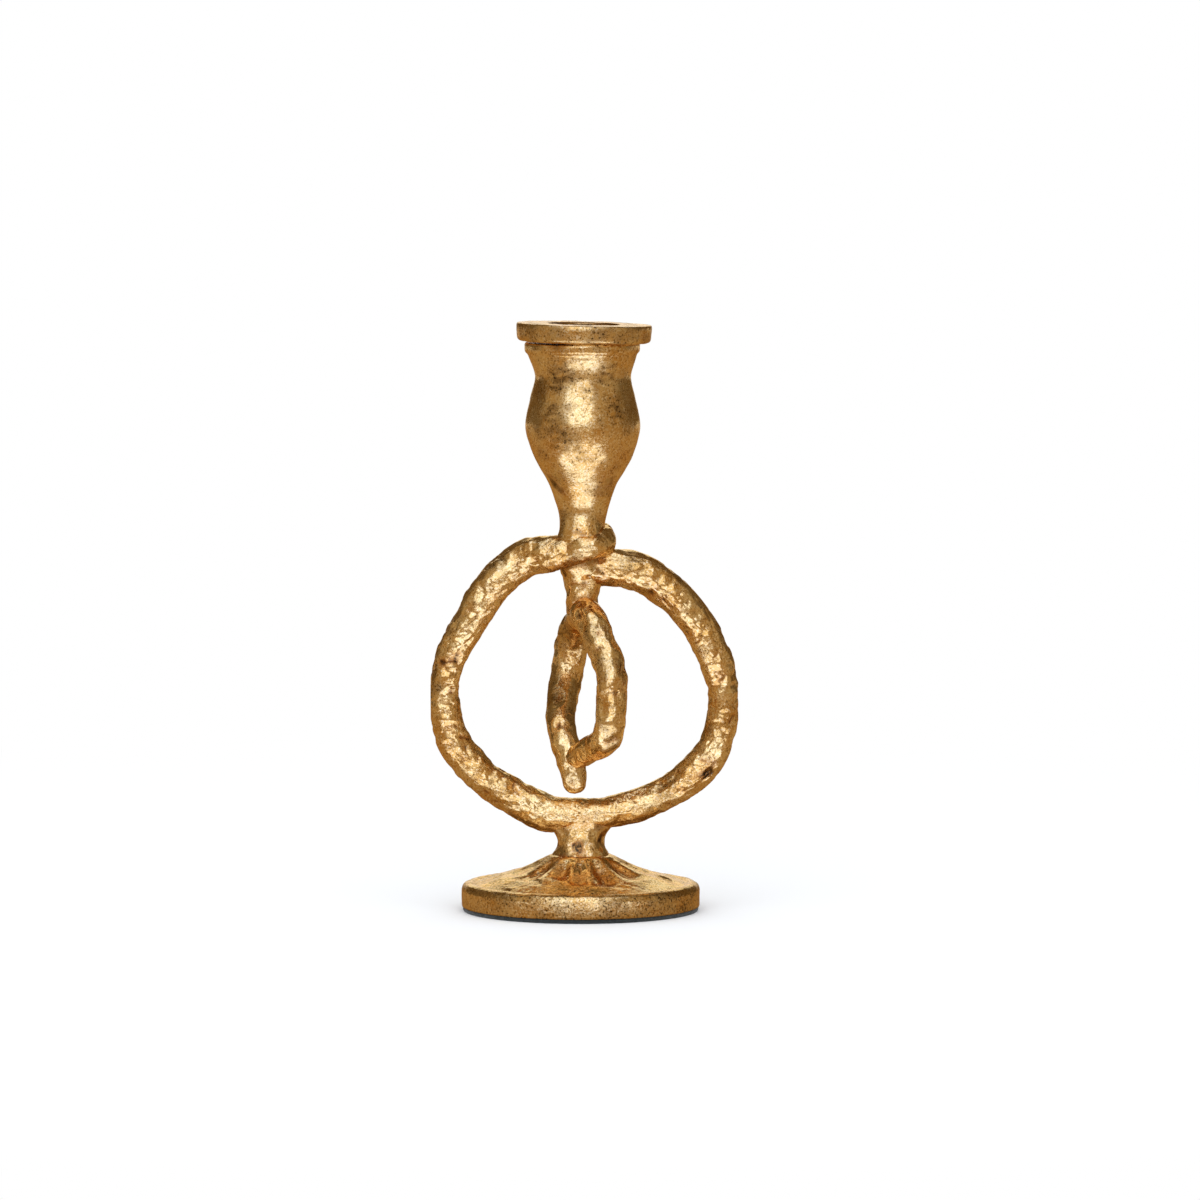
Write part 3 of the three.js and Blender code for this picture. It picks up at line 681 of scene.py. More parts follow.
cup_blots = spots(cup_rings, CUP_BLOTS, BLOT_SIZES) * (0.8 + 0.4 * ripples(cup_rings * [1, 1, 2], 4, 76))
cup_bands = patches(cup_rings * [1, 1, 1.8], 12, 77, 0.6, 2.0) * 0.5
# Painted shade in the crevice beside the curl.
cup_crevice = closeness(cup_rings, hoop_rod.curve[CURL_BALLS])
cup_crevice = cup_crevice * smooth_step(1.0, 1.6, np.abs(angle_from(cup_around, CREVICE_OPEN)))
cup_rubbed = np.minimum(spots(cup_rings, CUP_RUBBED, RUBBED_SIZES), 1)
cup = add_piece(
    "turned_candle_cup", "candle_cup", cup_rings,
    ends=([cup_axis, 0, cup_profile[0, 1]], [cup_axis, 0, cup_profile[-1, 1]]),
    # Painted shade inside the socket and in the crevice; the rubbed spots show the ground.
    hollow_and_shade=deepest(smooth_step(-0.08, -0.3, cup_relief), 0.9 * (1 - outside), 0.5 * cup_crevice,
                   0.6 * cup_rubbed),
    tarnish_and_shade=deepest(1.4 * cup_blots, cup_bands))

# %% [markdown]
# The rim.
# A thick ring lies on the lip and frames the socket. It sits a little crooked on the real one, lower on
# the right. Its object could be tilted, but a finished piece stays unturned, so the points are turned: the
# ring is made about its own axis first and then tilted about Y as a whole.

# %% Turn the rim
RIM_TILT = math.radians(1.4)
RIM_RADIUS = 21.5
RIM_HOLE = 11.4
RIM_HEIGHT = 5.9
RIM_START = 16
RIM_SEAT = np.array([cup_axis + 0.4, 0, 180.375])
RIM_COLUMNS = 330

rim_profile = rounded([
    [RIM_START, 0, 0], [RIM_RADIUS - 0.35, 0, 1.7], [RIM_RADIUS, RIM_HEIGHT - 1.3, 0.6],
    [RIM_RADIUS - 0.15, RIM_HEIGHT, 0.6], [RIM_HOLE, RIM_HEIGHT, 0.6], [RIM_HOLE, 0, 0.5], [RIM_START, 0, 0],
], 0.32)[:-1]
rim_rings, rim_outward, _ = turn_profile(rim_profile, RIM_COLUMNS, closed=True)
rim_relief = layers(rim_rings, (0.05, 11, 81), (0.02, 2.6, 82)) - 0.25 * pits(rim_rings, 83)
rim_relief = np.minimum(rim_relief - 0.05, 0)
rim_rings = rim_rings + rim_relief[..., None] * rim_outward
tilt = np.array([
    [math.cos(RIM_TILT), 0, math.sin(RIM_TILT)],
    [0, 1, 0],
    [-math.sin(RIM_TILT), 0, math.cos(RIM_TILT)],
])
rim_rings = rim_rings @ tilt.T + RIM_SEAT
# Painted shade in the bore of the ring.
rim_hole = smooth_step(RIM_HOLE + 1.6, RIM_HOLE + 0.2, reach_from_axis(rim_rings - RIM_SEAT))
rim = add_piece(
    "turned_rim", "rim_ring", rim_rings,
    hollow_and_shade=deepest(smooth_step(-0.1, -0.4, rim_relief), 0.8 * rim_hole),
    tarnish_and_shade=0.25 + 0.45 * patches(rim_rings, 8, 84, -1, 1.5))

# %% [markdown]
# The knuckle.
# Under the cup sits a short stub that flares upwards. The rod's right end runs into it with a web of
# braze, and the inner loop is saddled into its lower end. Separate webs could be laid on, but braze has no
# seams, so it is one turned cone that swells towards the bearings where metal was added.

# %% Turn the knuckle
KNUCKLE_ROOT = 5.2
KNUCKLE_TOP = 6.6
KNUCKLE_SPAN = (-3.5, 16.4)
KNUCKLE_COLUMNS = 120
WEB_BEARING = -8
WEB_HEIGHT = 10
SHOULDER_BEARING = 190
LOOP_BALLS = slice(None, None, 4)

knuckle_low_end, knuckle_high_end = KNUCKLE_SPAN
knuckle_profile = rounded([
    [0.3, knuckle_low_end, 0], [KNUCKLE_ROOT - 0.2, knuckle_low_end, 0.8], [KNUCKLE_ROOT - 0.1, 2, 1.8],
    [KNUCKLE_ROOT, 5.5, 1.5], [KNUCKLE_TOP, 13, 1.6], [KNUCKLE_TOP, knuckle_high_end, 0.3],
    [0.3, knuckle_high_end, 0],
], 0.34)
knuckle_profile[:, 1] += knuckle_low[2]
knuckle_rings, knuckle_outward, knuckle_around = turn_profile(knuckle_profile, KNUCKLE_COLUMNS)
knuckle_rise = knuckle_rings[..., 2] - knuckle_low[2]
web = np.exp(-((knuckle_rise - WEB_HEIGHT) / 4.5) ** 2) * lobe(knuckle_around, WEB_BEARING, 0.7)
shoulder = smooth_step(6, 13, knuckle_rise) * lobe(knuckle_around, SHOULDER_BEARING, 0.8)
knuckle_relief = layers(knuckle_rings, (0.3, 6, 91), (0.08, 2.8, 92)) - 0.6 * pits(knuckle_rings, 93, 1.3)
knuckle_relief = knuckle_relief * smooth_step(-3, 3, knuckle_rise)
knuckle_shift = knuckle_relief + 2.2 * web + 1.2 * shoulder
knuckle_rings = knuckle_rings + knuckle_shift[..., None] * knuckle_outward
knuckle_axis = cup_axis - 0.2
knuckle_rings[..., 0] += knuckle_axis
knuckle = add_piece(
    "braze_knuckle", "knuckle", knuckle_rings,
    ends=([knuckle_axis, 0, knuckle_profile[0, 1]], [knuckle_axis, 0, knuckle_profile[-1, 1]]),
    hollow_and_shade=deepest(smooth_step(-0.2, -0.7, knuckle_relief),
                   # Painted shade where the curl and the inner loop meet the knuckle.
                   0.7 * closeness(knuckle_rings, hoop_rod.curve[CURL_BALLS]),
                   0.5 * closeness(knuckle_rings, loop_rod.curve[LOOP_BALLS])),
    tarnish_and_shade=0.6 * patches(knuckle_rings, 6, 94, 0.4, 1.6))

# %% [markdown]
# The collar.
# It carries the hoop on the foot. Molten braze filled the corner under the hoop, so the top spreads out
# along the rod, and a dark crease is left at the bottom, where it stands on the crown of the foot. As on
# the knuckle, a turned piece that swells is simpler than a fillet between two meshes.

# %% Turn the collar
COLLAR_RADIUS = 7.7
COLLAR_BASE = -0.9
COLLAR_OVERLAP = 3.2
COLLAR_COLUMNS = 150
SEAT_BALLS = slice(200, -200, 4)

collar_top = collar_high[2] - collar_low[2] + COLLAR_OVERLAP
collar_profile = rounded([
    [0.3, COLLAR_BASE, 0], [COLLAR_RADIUS + 1.6, COLLAR_BASE, 0.2], [COLLAR_RADIUS, 2.2, 1.6],
    [COLLAR_RADIUS - 0.1, 5.5, 1.4], [COLLAR_RADIUS - 1.2, collar_top, 1.5], [0.3, collar_top, 0],
], 0.34)
collar_profile[:, 1] += collar_low[2]
collar_rings, collar_outward, collar_around = turn_profile(collar_profile, COLLAR_COLUMNS)
collar_rise = collar_rings[..., 2] - collar_low[2]
spread = smooth_step(3.5, 9, collar_rise) * np.cos(collar_around) ** 2
collar_relief = layers(collar_rings, (0.22, 7, 101), (0.06, 2.6, 102)) - 0.25 * pits(collar_rings, 103, 1.6)
collar_relief = collar_relief * smooth_step(-2, 1.5, collar_rise)
collar_rings = collar_rings + (collar_relief + 3.2 * spread**2)[..., None] * collar_outward
collar_rings[..., 1] *= 1 - 0.25 * smooth_step(4, 11, collar_rise)
collar_seam = smooth_step(0.8, -0.4, collar_rise) * patches(collar_rings, 6, 105, -0.8, 0.8)
collar = add_piece(
    "braze_collar", "collar", collar_rings,
    ends=([0, 0, collar_profile[0, 1]], [0, 0, collar_profile[-1, 1]]),
    hollow_and_shade=deepest(smooth_step(-0.15, -0.6, collar_relief), 0.7 * collar_seam,
                   # Painted shade under the hoop.
                   0.4 * closeness(collar_rings, hoop_rod.curve[SEAT_BALLS])),
    tarnish_and_shade=0.7 * patches(collar_rings, 6, 104, 0, 1.4))

# %% [markdown]
# The profile of the foot.
# A disc with a rolled edge sweeps up, nearly as a straight cone, to a crown under the collar. Underneath
# it is hollow. The line starts under the edge, goes round it, up the sweep, over the crown, down the screw
# hole and back out along the roof, so the foot is one closed ring of metal.

# %% Draw the foot
FOOT_STEP = 0.42
EDGE_STEP = 0.4
FOOT_COLUMNS = 420
FOOT_CROWN = 9.3
FOOT_LEVEL = 7.6
FOOT_RISE = 16.7
FOOT_BELLY = 11.3
FOOT_EDGE = 3.2
FOOT_LIP = 1.2
FOOT_HOLE = 2.8
FOOT_WALL = 4.2
FOOT_SEAT = 28
CROWN_ROUND = 1.4
CROWN_POINTS = 8

sweep_outer = foot_radius - FOOT_EDGE - FOOT_LIP
sweep_share = np.linspace(0, 1, 60)[:, None]
sweep = (np.array([sweep_outer, FOOT_LEVEL - 0.3]) * (1 - sweep_share) ** 2
         + np.array([(sweep_outer + FOOT_CROWN) / 2, FOOT_BELLY]) * 2 * sweep_share * (1 - sweep_share)
         + np.array([FOOT_CROWN, FOOT_RISE]) * sweep_share**2)
edge = rounded([
    [FOOT_SEAT, 0, 0], [foot_radius - 0.2, 0, 0.6], [foot_radius, FOOT_LEVEL + 0.2, FOOT_EDGE],
    [sweep_outer + 0.8, FOOT_LEVEL + 0.1, 0.3], [sweep_outer, FOOT_LEVEL - 0.3, 0],
], EDGE_STEP)
under = rounded([
    [*sweep[-CROWN_POINTS], 0], [FOOT_CROWN, FOOT_RISE, CROWN_ROUND], [FOOT_HOLE, FOOT_RISE, 0.2],
    [FOOT_HOLE, FOOT_RISE - FOOT_WALL, 0.2], [FOOT_CROWN, FOOT_RISE - FOOT_WALL, 1], [20, 5.2, 3],
    [FOOT_SEAT, 4, 0.4], [FOOT_SEAT, 0, 0],
], 0.6)
foot_profile = even_steps(np.concatenate([edge, sweep[1:-CROWN_POINTS], under]), FOOT_STEP)[:-1]
foot_profile[:, 1] += foot_low[2]
foot_rings, foot_outward, foot_around = turn_profile(foot_profile, FOOT_COLUMNS, closed=True)
foot_reach = reach_from_axis(foot_rings)
foot_rise = foot_rings[..., 2] - foot_low[2]
print("foot of", len(foot_profile), "rings")

# %% [markdown]
# The dents of the foot.
# Blows of a round-nosed hammer left dents that run down the sweep like the folds of a cloth, no two alike,
# and shallow ones further out. A wave round the axis would be too regular. So each dent is a valley with
# its own bearing in degrees, width in radians, depth and share of the sweep that it reaches.

# %% Dent the foot
DENTS = np.array([
    [223, 0.20, 1.7, 0.56], [249, 0.16, 2.0, 0.46], [271, 0.15, 1.7, 0.60], [292, 0.16, 2.4, 0.64],
    [318, 0.20, 1.9, 0.54], [350, 0.24, 1.3, 0.56], [28, 0.20, 1.7, 0.64], [60, 0.24, 2.2, 0.54],
    [96, 0.18, 1.6, 0.62], [128, 0.25, 2.3, 0.54], [161, 0.18, 1.3, 0.62], [193, 0.24, 1.3, 0.54],
])
DENT_LEAN = 6
TOP_LENGTH = 34

on_top = (np.arange(len(foot_profile)) * FOOT_STEP < len(edge) * EDGE_STEP + TOP_LENGTH)[:, None]
on_sweep = smooth_step(FOOT_CROWN - 0.2, FOOT_CROWN + 2.5, foot_reach) * on_top
on_sweep = on_sweep * smooth_step(sweep_outer + 2, sweep_outer - 3, foot_reach)
sweep_way = (foot_reach - FOOT_CROWN) / (sweep_outer - FOOT_CROWN)
valleys = np.zeros_like(foot_reach)
for bearing, width, cut, reach in DENTS:
    # The sine of the bearing's plain number only serves to give each dent its own fixed lean.
    own_lean = DENT_LEAN * math.sin(bearing)
    bell = lobe(foot_around + np.radians(own_lean * sweep_way), bearing, width)
    run = smooth_step(-0.04, 0.32, sweep_way) * smooth_step(reach + 0.16, reach - 0.1, sweep_way)
    valleys += cut * bell * run
level_dents = patches(foot_rings, 9, 113, 0.9, 2.2) * smooth_step(18, 22, foot_reach)
foot_dents = (valleys + 0.5 * level_dents) * on_sweep
print(len(DENTS), "dents, the deepest", round(foot_dents.max(), 1), "mm")

# %% [markdown]
# The foot.
# Fine relief and pits come on top of the dents. Painted shade darkens the dents and the line where the
# sweep leaves the edge, and the leaf is duller on the front right of the edge. These marks could be painted
# on by hand, but here they follow from the shape itself.

# %% Shape the foot
WORN_BEARING = 335

foot_relief = layers(foot_rings, (0.05, 9, 111), (0.025, 2.2, 112)) - 0.25 * pits(foot_rings, 114, 1.5, 1.2)
foot_relief = np.minimum(foot_relief - 0.08, 0) * smooth_step(0, 1, foot_rise)
# A painted line of shade in the groove where the sweep leaves the edge.
ring_line = np.exp(-((foot_reach - sweep_outer - 0.4) / 0.5) ** 2) * on_top
foot_rings = foot_rings + (foot_relief - foot_dents)[..., None] * foot_outward
worn_side = np.cos(angle_from(foot_around, WORN_BEARING)) + 0.4 * ripples(foot_rings, 14, 116)
worn_edge = smooth_step(sweep_outer, foot_radius - 1.5, foot_reach) * smooth_step(-0.6, 0.9, worn_side)
foot = add_piece(
    "hammered_foot", "foot", foot_rings,
    # Painted shade in the groove round the edge and in the deeper dents.
    hollow_and_shade=deepest(smooth_step(-0.15, -0.4, foot_relief), 0.45 * ring_line,
                   0.6 * smooth_step(0.8, 2.2, foot_dents)),
    tarnish_and_shade=0.3 * patches(foot_rings, 8, 115, -0.3, 1.8) + 0.35 * worn_edge)

# %% [markdown]
# The felt.
# A disc of dark felt is glued under the foot. From the side it is a thin dark line with a soft edge. A
# plain disc would do, but the edge is left slightly ragged, as shears leave it.

# %% Cut the felt
PAD_EDGE_ROUND = 0.35
PAD_COLUMNS = 260
FRAYED = (30, 36)

pad_high = node_box("felt_pad")[1]
pad_radius, pad_top = pad_high[1:]
pad_profile = rounded([
    [0.3, 0, 0], [pad_radius, 0, PAD_EDGE_ROUND], [pad_radius, pad_top, PAD_EDGE_ROUND], [0.3, pad_top, 0],
], 0.24)
pad_rings, pad_outward, _ = turn_profile(pad_profile, PAD_COLUMNS)
fray = np.minimum(0.1 * ripples(pad_rings, 1.6, 121) - 0.12, 0)
fray = fray * smooth_step(*FRAYED, reach_from_axis(pad_rings))
pad_rings = pad_rings + fray[..., None] * pad_outward * [1, 1, 0]
pad = add_piece("felt_disc", "felt_pad", pad_rings, ends=([0, 0, 0], [0, 0, pad_top]))

# %% [markdown]
# Starting a finish.
# A finish is a small network of nodes. Its sockets take either a fixed value or a link from another node.
# The shares and places stored in the mesh come in through a node of their own.

# %% Start a finish


def new_finish(name):
    """A material with its node tree, its main shader and its texture coordinates."""
    finish = bpy.data.materials.new(name)
    finish.use_nodes = True
    tree = finish.node_tree
    shader = tree.nodes["Principled BSDF"]
    place = tree.nodes.new("ShaderNodeTexCoord").outputs["Object"]
    return finish, tree, shader, place


def feed(tree, value, socket):
    """Puts a value into a socket: by a link if it comes from a node, and directly if it is fixed."""
    if isinstance(value, bpy.types.NodeSocket):
        tree.links.new(value, socket)
    else:
        socket.default_value = value


def stored(tree, label, output="Fac"):
    """What is stored under a label at each point of the mesh."""
    node = tree.nodes.new("ShaderNodeAttribute")
    node.attribute_name = label
    return node.outputs[output]


labels = [label for label in ("hollow_and_shade", "tarnish_and_shade", "grain") if label in hoop.data.attributes]
print("stored in each mesh:", labels)

# %% [markdown]
# Noises, ramps and mixes.
# Noise scatters the tones of a finish, ramps sharpen it, and mixes lay one colour over another. Linking
# such nodes one by one takes many lines, so each kind gets a short function that returns its output.

# %% Mix noises and colours


def noise(tree, place, size, detail, rough, stretch=None):
    """Noise texture whose features are about size millimetres across."""
    if stretch is not None:
        mapping = tree.nodes.new("ShaderNodeMapping")
        mapping.inputs["Scale"].default_value = stretch
        tree.links.new(place, mapping.inputs["Vector"])
        place = mapping.outputs["Vector"]
    node = tree.nodes.new("ShaderNodeTexNoise")
    node.inputs["Scale"].default_value = 1 / (size * MM)
    node.inputs["Detail"].default_value = detail
    node.inputs["Roughness"].default_value = rough
    tree.links.new(place, node.inputs["Vector"])
    return node.outputs["Fac"]


def ramp(tree, value, stops):
    """Colour ramp: stops are (position, colour), and a colour may be one number."""
    node = tree.nodes.new("ShaderNodeValToRGB")
    elements = node.color_ramp.elements
    while len(elements) < len(stops):
        elements.new(0.5)
    for element, (position, colour) in zip(elements, stops):
        element.position = position
        element.color = (colour, colour, colour, 1) if np.isscalar(colour) else (*colour, 1)
    tree.links.new(value, node.inputs["Fac"])
    return node.outputs["Color"]


def blend(tree, share, first, second):
    """Mixes two colours by a share. Either may be a socket or a fixed colour."""
    node = tree.nodes.new("ShaderNodeMix")
    node.data_type = "RGBA"
    tree.links.new(share, node.inputs[0])
    for colour, socket in ((first, node.inputs[6]), (second, node.inputs[7])):
        feed(tree, (*colour, 1) if isinstance(colour, tuple) else colour, socket)
    return node.outputs[2]


def combine(tree, operation, first, second):
    """Arithmetic on two values, kept between 0 and 1. Either may be a socket or a number."""
    node = tree.nodes.new("ShaderNodeMath")
    node.operation = operation
    node.use_clamp = True
    feed(tree, first, node.inputs[0])
    feed(tree, second, node.inputs[1])
    return node.outputs[0]


def fade(tree, value, low, high, kind="LINEAR"):
    """0 where the value is under low, 1 where it is over high, and a straight or smooth way between."""
    node = tree.nodes.new("ShaderNodeMapRange")
    node.interpolation_type = kind
    node.inputs["From Min"].default_value = low
    node.inputs["From Max"].default_value = high
    tree.links.new(value, node.inputs["Value"])
    return node.outputs["Result"]


def bumped(tree, height, distance):
    """A normal that follows a height. The distance is the full depth in millimetres."""
    node = tree.nodes.new("ShaderNodeBump")
    node.inputs["Distance"].default_value = distance * MM
    tree.links.new(height, node.inputs["Height"])
    return node


print("finish helpers ready")

# %% [markdown]
# The colour of gold leaf.
# Leaf is laid over a red-brown ground and rubbed. On the ridges it stays bright and pale. In the hollows
# the ground shows through orange and brown, and old wax turns pits nearly black. The same ground and wax
# colours are also painted as shade: under the rods, in the crevices between pieces and in recesses. One
# flat gold would look like plastic. So the colour starts from two golds mixed by a broad noise, a fine
# speckle adds pale flecks and grime, and the shares stored in the mesh bring in tarnish, ground, wax and
# painted shade.

# %% Colour of gold leaf
PALE_LEAF = (1.0, 0.90, 0.70)
BRIGHT_LEAF = (0.96, 0.73, 0.38)
WARM_LEAF = (0.80, 0.48, 0.15)
DULL_LEAF = (0.30, 0.17, 0.05)
GROUND_AND_SHADE = (0.55, 0.20, 0.04)
OLD_WAX_AND_SHADE = (0.03, 0.017, 0.007)


def leaf_colour(tree, place, flakes, wear, pepper):
    """Colour of worn leaf with its painted shade, and the share of it that is dulled by tarnish and by
    painted shade. Wear is how much of the ground shows in the hollows and in the painted shade, and pepper
    the level of the speckle under which it turns into black flecks."""
    broad = noise(tree, place, 9, 4, 0.6)
    speckle = noise(tree, place, 0.58, 2, 0.6)
    hollow_and_shade = stored(tree, "hollow_and_shade")
    leaf = blend(tree, ramp(tree, broad, [(0.36, 0), (0.6, 1)]), WARM_LEAF, BRIGHT_LEAF)
    leaf = blend(tree, ramp(tree, speckle, [(0.52, 0), (0.65, 0.8)]), leaf, PALE_LEAF)
    patchy = ramp(tree, flakes, [(0.42, 0.1), (0.62, 1)])
    grime = combine(tree, "MULTIPLY", ramp(tree, speckle, [(0.39, 0.9), (0.5, 0)]), patchy)
    leaf = blend(tree, grime, leaf, DULL_LEAF)
    tarnished = ramp(tree, flakes, [(0.35, 0.3), (0.6, 0.95)])
    # On the inner loop the tarnish share also carries painted shade.
    dulled_and_shaded = combine(tree, "MULTIPLY", stored(tree, "tarnish_and_shade"), tarnished)
    leaf = blend(tree, dulled_and_shaded, leaf, DULL_LEAF)
    # The ground's colour fills the real hollows and, from the same share, the painted shade.
    bare_and_shaded = combine(tree, "MULTIPLY", hollow_and_shade, ramp(tree, flakes, [(0.3, 0.2), (0.56, wear)]))
    leaf = blend(tree, bare_and_shaded, leaf, GROUND_AND_SHADE)
    # Near-black wax in the pits, and also as the deepest painted shade in the socket, the bore and the
    # crevices.
    waxed_and_shaded = ramp(tree, speckle, [(0.35, 0.3), (0.55, 1)])
    waxed_and_shaded = combine(tree, "MULTIPLY", ramp(tree, hollow_and_shade, [(0.5, 0), (1, 1)]), waxed_and_shaded)
    thinned = combine(tree, "SUBTRACT", speckle, combine(tree, "MULTIPLY", dulled_and_shaded, 0.14))
    flecks = ramp(tree, thinned, [(pepper, 0.9), (pepper + 0.07, 0)])
    return blend(tree, combine(tree, "MAXIMUM", waxed_and_shaded, flecks), leaf, OLD_WAX_AND_SHADE), dulled_and_shaded


print("leaf from", PALE_LEAF, "down to", OLD_WAX_AND_SHADE)

# %% [markdown]
# The skin of gold leaf.
# Leaf is thinner than paper and takes every wrinkle of the metal. Folds of a few millimetres and wrinkles
# under one millimetre make the glints. Fine geometry could carry the wrinkles, but the meshes would be
# huge, so they are a bump. They are looked up at the stored grain, so that they follow a rod round its
# bends, and a broad noise leaves calm spots between them.

# %% Skin of gold leaf
WRINKLE_SIZE = 0.8
WRINKLE_SHARE = 0.42
FOLD_SIZE = 3.2
CALM_SIZE = 6


def leaf_skin(tree, place, grain, lines, folds):
    """Bump of wrinkled leaf. Grain is its depth in millimetres, lines stretches the wrinkles into turning
    marks, and folds is the share of the large folds: the distance to the nearest of scattered points."""
    where = stored(tree, "grain", "Vector")
    wrinkles = noise(tree, where, WRINKLE_SIZE, 3, 0.7, stretch=(1 / lines, 1 / lines, 1))
    folded = tree.nodes.new("ShaderNodeTexVoronoi")
    folded.inputs["Scale"].default_value = 1 / (FOLD_SIZE * MM)
    folded.inputs["Detail"].default_value = 1
    tree.links.new(where, folded.inputs["Vector"])
    height = combine(tree, "ADD", combine(tree, "MULTIPLY", wrinkles, WRINKLE_SHARE),
                     combine(tree, "MULTIPLY", folded.outputs["Distance"], folds))
    bump = bumped(tree, height, grain)
    calm = ramp(tree, noise(tree, place, CALM_SIZE, 2, 0.5), [(0.43, 0.15), (0.63, 1)])
    tree.links.new(calm, bump.inputs["Strength"])
    return bump.outputs["Normal"]


print("wrinkles of", WRINKLE_SIZE, "mm, folds of", FOLD_SIZE, "mm")

# %% [markdown]
# Gold leaf.
# Leaf is metal, so nearly all its light is reflected, and how sharply it reflects changes from flake to
# flake: roughness has its own ramp on the flakes. A thin coat stands for the sealing wax, which adds a
# sharper, paler glint. One recipe could do for all, but the pieces differ: rough on the rods and the
# brazed joints, smooth on the turned cup and rim, and peppered with dark flecks on the foot.

# %% Lay the gold leaf
EDGE_TINT = (0.95, 0.70, 0.36)
COAT = 0.3


def gold_leaf(name, grain, dullness, wear, lines, folds, pepper):
    """Worn leaf over a red-brown ground. Dullness is its least roughness; the other numbers are those of
    its colour and its skin."""
    finish, tree, shader, place = new_finish(name)
    flakes = noise(tree, place, 2.2, 4, 0.65)
    leaf, dulled_and_shaded = leaf_colour(tree, place, flakes, wear, pepper)
    tree.links.new(leaf, shader.inputs["Base Color"])
    shader.inputs["Metallic"].default_value = 1
    shader.inputs["Specular Tint"].default_value = (*EDGE_TINT, 1)
    rough = ramp(tree, flakes, [(0.38, dullness), (0.5, dullness + 0.05), (0.64, dullness + 0.16)])
    rough = combine(tree, "ADD", rough, combine(tree, "MULTIPLY", dulled_and_shaded, 0.15))
    tree.links.new(rough, shader.inputs["Roughness"])
    shader.inputs["Coat Weight"].default_value = COAT
    tree.links.new(ramp(tree, flakes, [(0.35, 0.12), (0.65, 0.3)]), shader.inputs["Coat Roughness"])
    skin = leaf_skin(tree, place, grain, lines, folds)
    tree.links.new(skin, shader.inputs["Normal"])
    tree.links.new(skin, shader.inputs["Coat Normal"])
    return finish


forged_leaf = gold_leaf("forged_leaf", grain=0.42, dullness=0.12, wear=0.8, lines=1, folds=0.3, pepper=0.27)
turned_leaf = gold_leaf("turned_leaf", grain=0.3, dullness=0.18, wear=0.6, lines=2.5, folds=0.1, pepper=0.27)
foot_leaf = gold_leaf("foot_leaf", grain=0.45, dullness=0.10, wear=0.8, lines=1, folds=0.2, pepper=0.32)
leafed = {forged_leaf: (hoop, loop, knuckle, collar), turned_leaf: (cup, rim), foot_leaf: (foot,)}
for leaf_finish, pieces in leafed.items():
    for piece in pieces:
        piece.data.materials.append(leaf_finish)
    print(leaf_finish.name, "on", len(pieces), "pieces")

# %% [markdown]
# Felt and fasteners.
# Felt is a mat of fibres: dark, with no shine of its own but a faint sheen at the edges. Strands could be
# grown on it, but it shows only as a line, so noise does. The screw, the washer and the stud are hidden,
# and keep their solids, in plain steel with fine lathe lines.

# %% Felt and steel
FELT_DARK = (0.010, 0.014, 0.015)
FELT_PALE = (0.035, 0.045, 0.046)
STEEL_DARK = (0.30, 0.30, 0.31)
STEEL_PALE = (0.52, 0.52, 0.53)


def felt_finish():
    """Matted fibres: two dark tones by a fine noise, with the same noise as bump."""
    finish, tree, shader, place = new_finish("dark_felt")
    fibres = noise(tree, place, 0.5, 4, 0.7)
    tree.links.new(ramp(tree, fibres, [(0.35, FELT_DARK), (0.7, FELT_PALE)]), shader.inputs["Base Color"])
    shader.inputs["Roughness"].default_value = 0.95
    shader.inputs["Sheen Weight"].default_value = 0.25
    tree.links.new(bumped(tree, fibres, 0.3).outputs["Normal"], shader.inputs["Normal"])
    return finish


def steel_finish():
    """Turned steel: tones drawn out into fine rings by a noise stretched along the height."""
    finish, tree, shader, place = new_finish("fastener_steel")
    lines = noise(tree, place, 3, 3, 0.6, stretch=(1, 1, 14))
    tree.links.new(ramp(tree, lines, [(0.3, STEEL_DARK), (0.7, STEEL_PALE)]), shader.inputs["Base Color"])
    tree.links.new(ramp(tree, lines, [(0.3, 0.3), (0.7, 0.48)]), shader.inputs["Roughness"])
    shader.inputs["Metallic"].default_value = 1
    return finish


pad.data.materials.append(felt_finish())
steel = steel_finish()
fasteners = ("foot_screw", "foot_washer", "cup_stud")
for node in fasteners:
    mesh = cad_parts[node].data
    mesh.materials.clear()
    mesh.materials.append(steel)
print("felt on", pad.name, "and steel on", len(fasteners), "fasteners")

# %% [markdown]
# The floor.
# The holder stands on a pale floor that runs out to white. More light would bleach the gold as well, so
# the floor's own material does it: for the camera it fades to white with the distance and keeps the
# shadow near the foot. Metal shows its floor too. For the shine the floor is a warm shade, as a table in
# a room would be, and white only far behind.

# %% Lay the floor
FLOOR_PALE = (0.93, 0.93, 0.93)
FLOOR_SHADE = (0.36, 0.22, 0.085)
FLOOR_BEHIND = (1.2, 3.6)
FLOOR_HALF = 4.0
FLOOR_CLEAR = (0.16, 0.55)


def part_of(tree, vector, axis):
    """One part, X, Y or Z, of a vector."""
    node = tree.nodes.new("ShaderNodeSeparateXYZ")
    tree.links.new(vector, node.inputs["Vector"])
    return node.outputs[axis]


def length_of(tree, vector):
    """Length of a vector."""
    node = tree.nodes.new("ShaderNodeVectorMath")
    node.operation = "LENGTH"
    tree.links.new(vector, node.inputs[0])
    return node.outputs["Value"]


